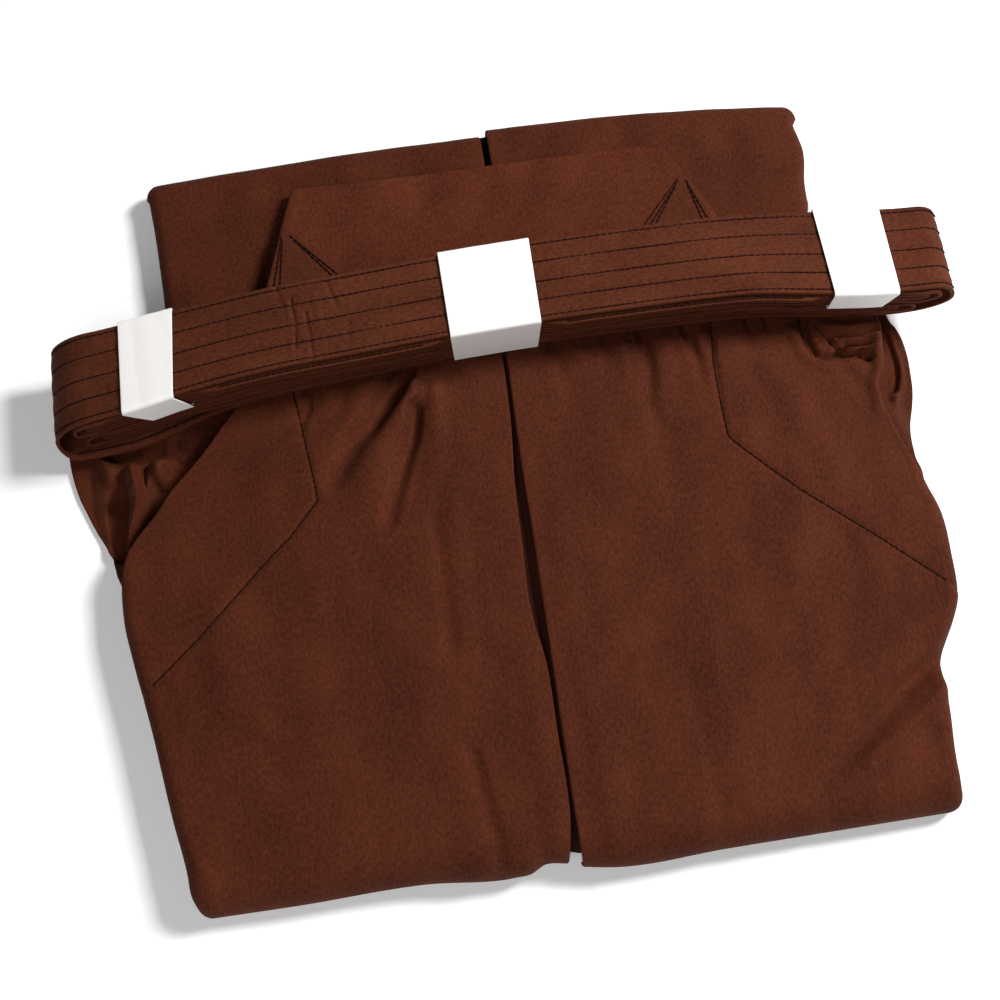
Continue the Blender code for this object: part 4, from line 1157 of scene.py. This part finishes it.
def stitches(name, rows):
    """Centre + u length / 2 along + r (cos v side + sin v up), with r = radius * sqrt(1 - u^2)."""
    spacing = STITCH_PITCH / 2, STITCH_PITCH
    centres = [resample(row, row, *spacing) for row in rows]
    along = [unit(resample(row, np.gradient(row, axis=0), *spacing)) for row in rows]
    centres, along = np.concatenate(centres)[:, None, None], np.concatenate(along)[:, None, None]
    side = unit(np.cross(along, (0, 0, 1.0)))
    up = np.cross(side, along)
    u = np.array((-0.98, -0.8, -0.35, 0.35, 0.8, 0.98))[:, None, None]
    v = np.radians(np.arange(0, 360, 60))[:, None]
    radius = THREAD_RADIUS * np.sqrt(1 - u ** 2)
    points = centres + u * STITCH_LENGTH / 2 * along + radius * (np.cos(v) * side + np.sin(v) * up)
    points = points - PULLED_DOWN * u ** 4 * up
    count, rings, around = points.shape[:3]
    k, i, j = np.meshgrid(np.arange(count), np.arange(rings - 1), np.arange(around), indexing="ij")
    a, b = ((k * rings + i) * around + step % around for step in (j, j + 1))
    quads = grid(a, a + around, b + around, b).reshape(-1, 4)
    first = np.arange(count)[:, None] * rings * around + np.arange(around)
    caps = [*first, *(first + (rings - 1) * around)[:, ::-1]]
    points = points.reshape(-1, 3)
    piece = finish_mesh(name, points, quads, points[:, :2], thread, caps)
    print(name, count, "stitches")


def belt_rows():
    """Five rows along the outer turn's top, and one on each layer that shows below it."""
    path = racetrack(BELT_LEFT, BELT_RIGHT, BELT_HEIGHT / 2, PATH_STEP)
    path = path[path[:, 1] > BELT_HEIGHT * 0.2]
    path = path[np.argsort(path[:, 0])]
    up = BELT_HEIGHT / 2 + path[:, 1] - CHANNEL_RISE
    rows = [on_bundle(path[:, 0], up + creases(BELT_CREASES, path[:, 0], row), row / STRAP_HALF)
            for row in STITCH_ROWS]
    shown = np.arange(-204, -140, PATH_STEP)      # where the lowest layer sticks out
    rows.append(on_bundle(shown, STRAP_THICK, STITCH_ROWS[0] / STRAP_HALF, LOWEST_LAYER))
    for ends in ((-131, -38), (27, 136)):         # where the second one does
        rows.append(on_bundle(np.arange(*ends, PATH_STEP), SECOND_UP, SECOND_ACROSS / STRAP_HALF))
    return rows


def facing_row(side):
    """The facing's seam on a back panel, from under the belt to the side edge."""
    line = np.array(FACING_SEAMS[side], float)
    x, y = resample(line, line, 0, 1.0).T
    inside = np.abs(x) < np.abs(edge("back_" + side, y)) - 5
    shown = inside & (y < belt("centre_y", x) - 16)
    x, y = x[shown], y[shown]
    height = stack_top(x, y) + 2 * LAYER + back_panel_height(side, x, y, 0.0)
    return grid(x, y, height + 0.3)


def plate_rows(name):
    """Two rows inside each edge of a strap's end, from its apex down to the belt."""
    row = STRAP_ENDS[name]
    rows = []
    for inset in PLATE_INSETS:
        for start, end in ((inset, inset * 0.8), (1 - inset, 1 - inset * 0.8)):
            along = np.linspace(inset * 0.9, 0.96, 60)
            share = mix(start, end, along) if inset == PLATE_INSETS[0] else start
            x, y = strap_end_point(row, share, along)
            rows.append(grid(x, y, plate_surface(x, y) + STRAP_END_THICK + 0.2))
    return rows


stitches("strap_stitches", belt_rows())
stitches("facing_stitches", [facing_row(side) for side, _ in SIDES])
stitches("strap_end_stitches", [row for name in STRAP_ENDS for row in plate_rows(name)])

# %% [markdown]
# ## Floor and light
# A soft lamp high on the right shades the creases, and a weaker one at the near side fills the
# folds. The floor is translucent white acrylic, lit faintly from below.

# %% Floor and light
def lamp(name, place, size, power):
    """A square area lamp that faces the garment."""
    light = bpy.data.lights.new(name, "AREA")
    light.shape, light.size, light.energy = "SQUARE", size, power
    holder = put(name, light)
    holder.location = place
    holder.rotation_euler = (-Vector(place)).to_track_quat("-Z", "Y").to_euler()


ground = bpy.data.meshes.new("floor")
ground.from_pydata([(-3, -3, 0), (3, -3, 0), (3, 3, 0), (-3, 3, 0)], [], [(0, 1, 2, 3)])
ground.materials.append(mottled(
    "white_light_table", "FBFBFB", "FEFEFE", 6.0,
    {"Roughness": 0.9, "Emission Color": (1, 1, 1, 1), "Emission Strength": 0.12}))
put("floor", ground)
lamp("soft_key", (1.0, 0.28, 1.06), 0.4, 29.5)
lamp("near_fill", (-0.34, -0.98, 0.95), 0.9, 8.2)
world = bpy.data.worlds.new("studio")
world.use_nodes = True
glow = world.node_tree.nodes["Background"].inputs
glow["Color"].default_value, glow["Strength"].default_value = (1, 1, 1, 1), 0.07
bpy.context.scene.world = world
print("lamps:", ", ".join(light.name for light in bpy.data.lights))
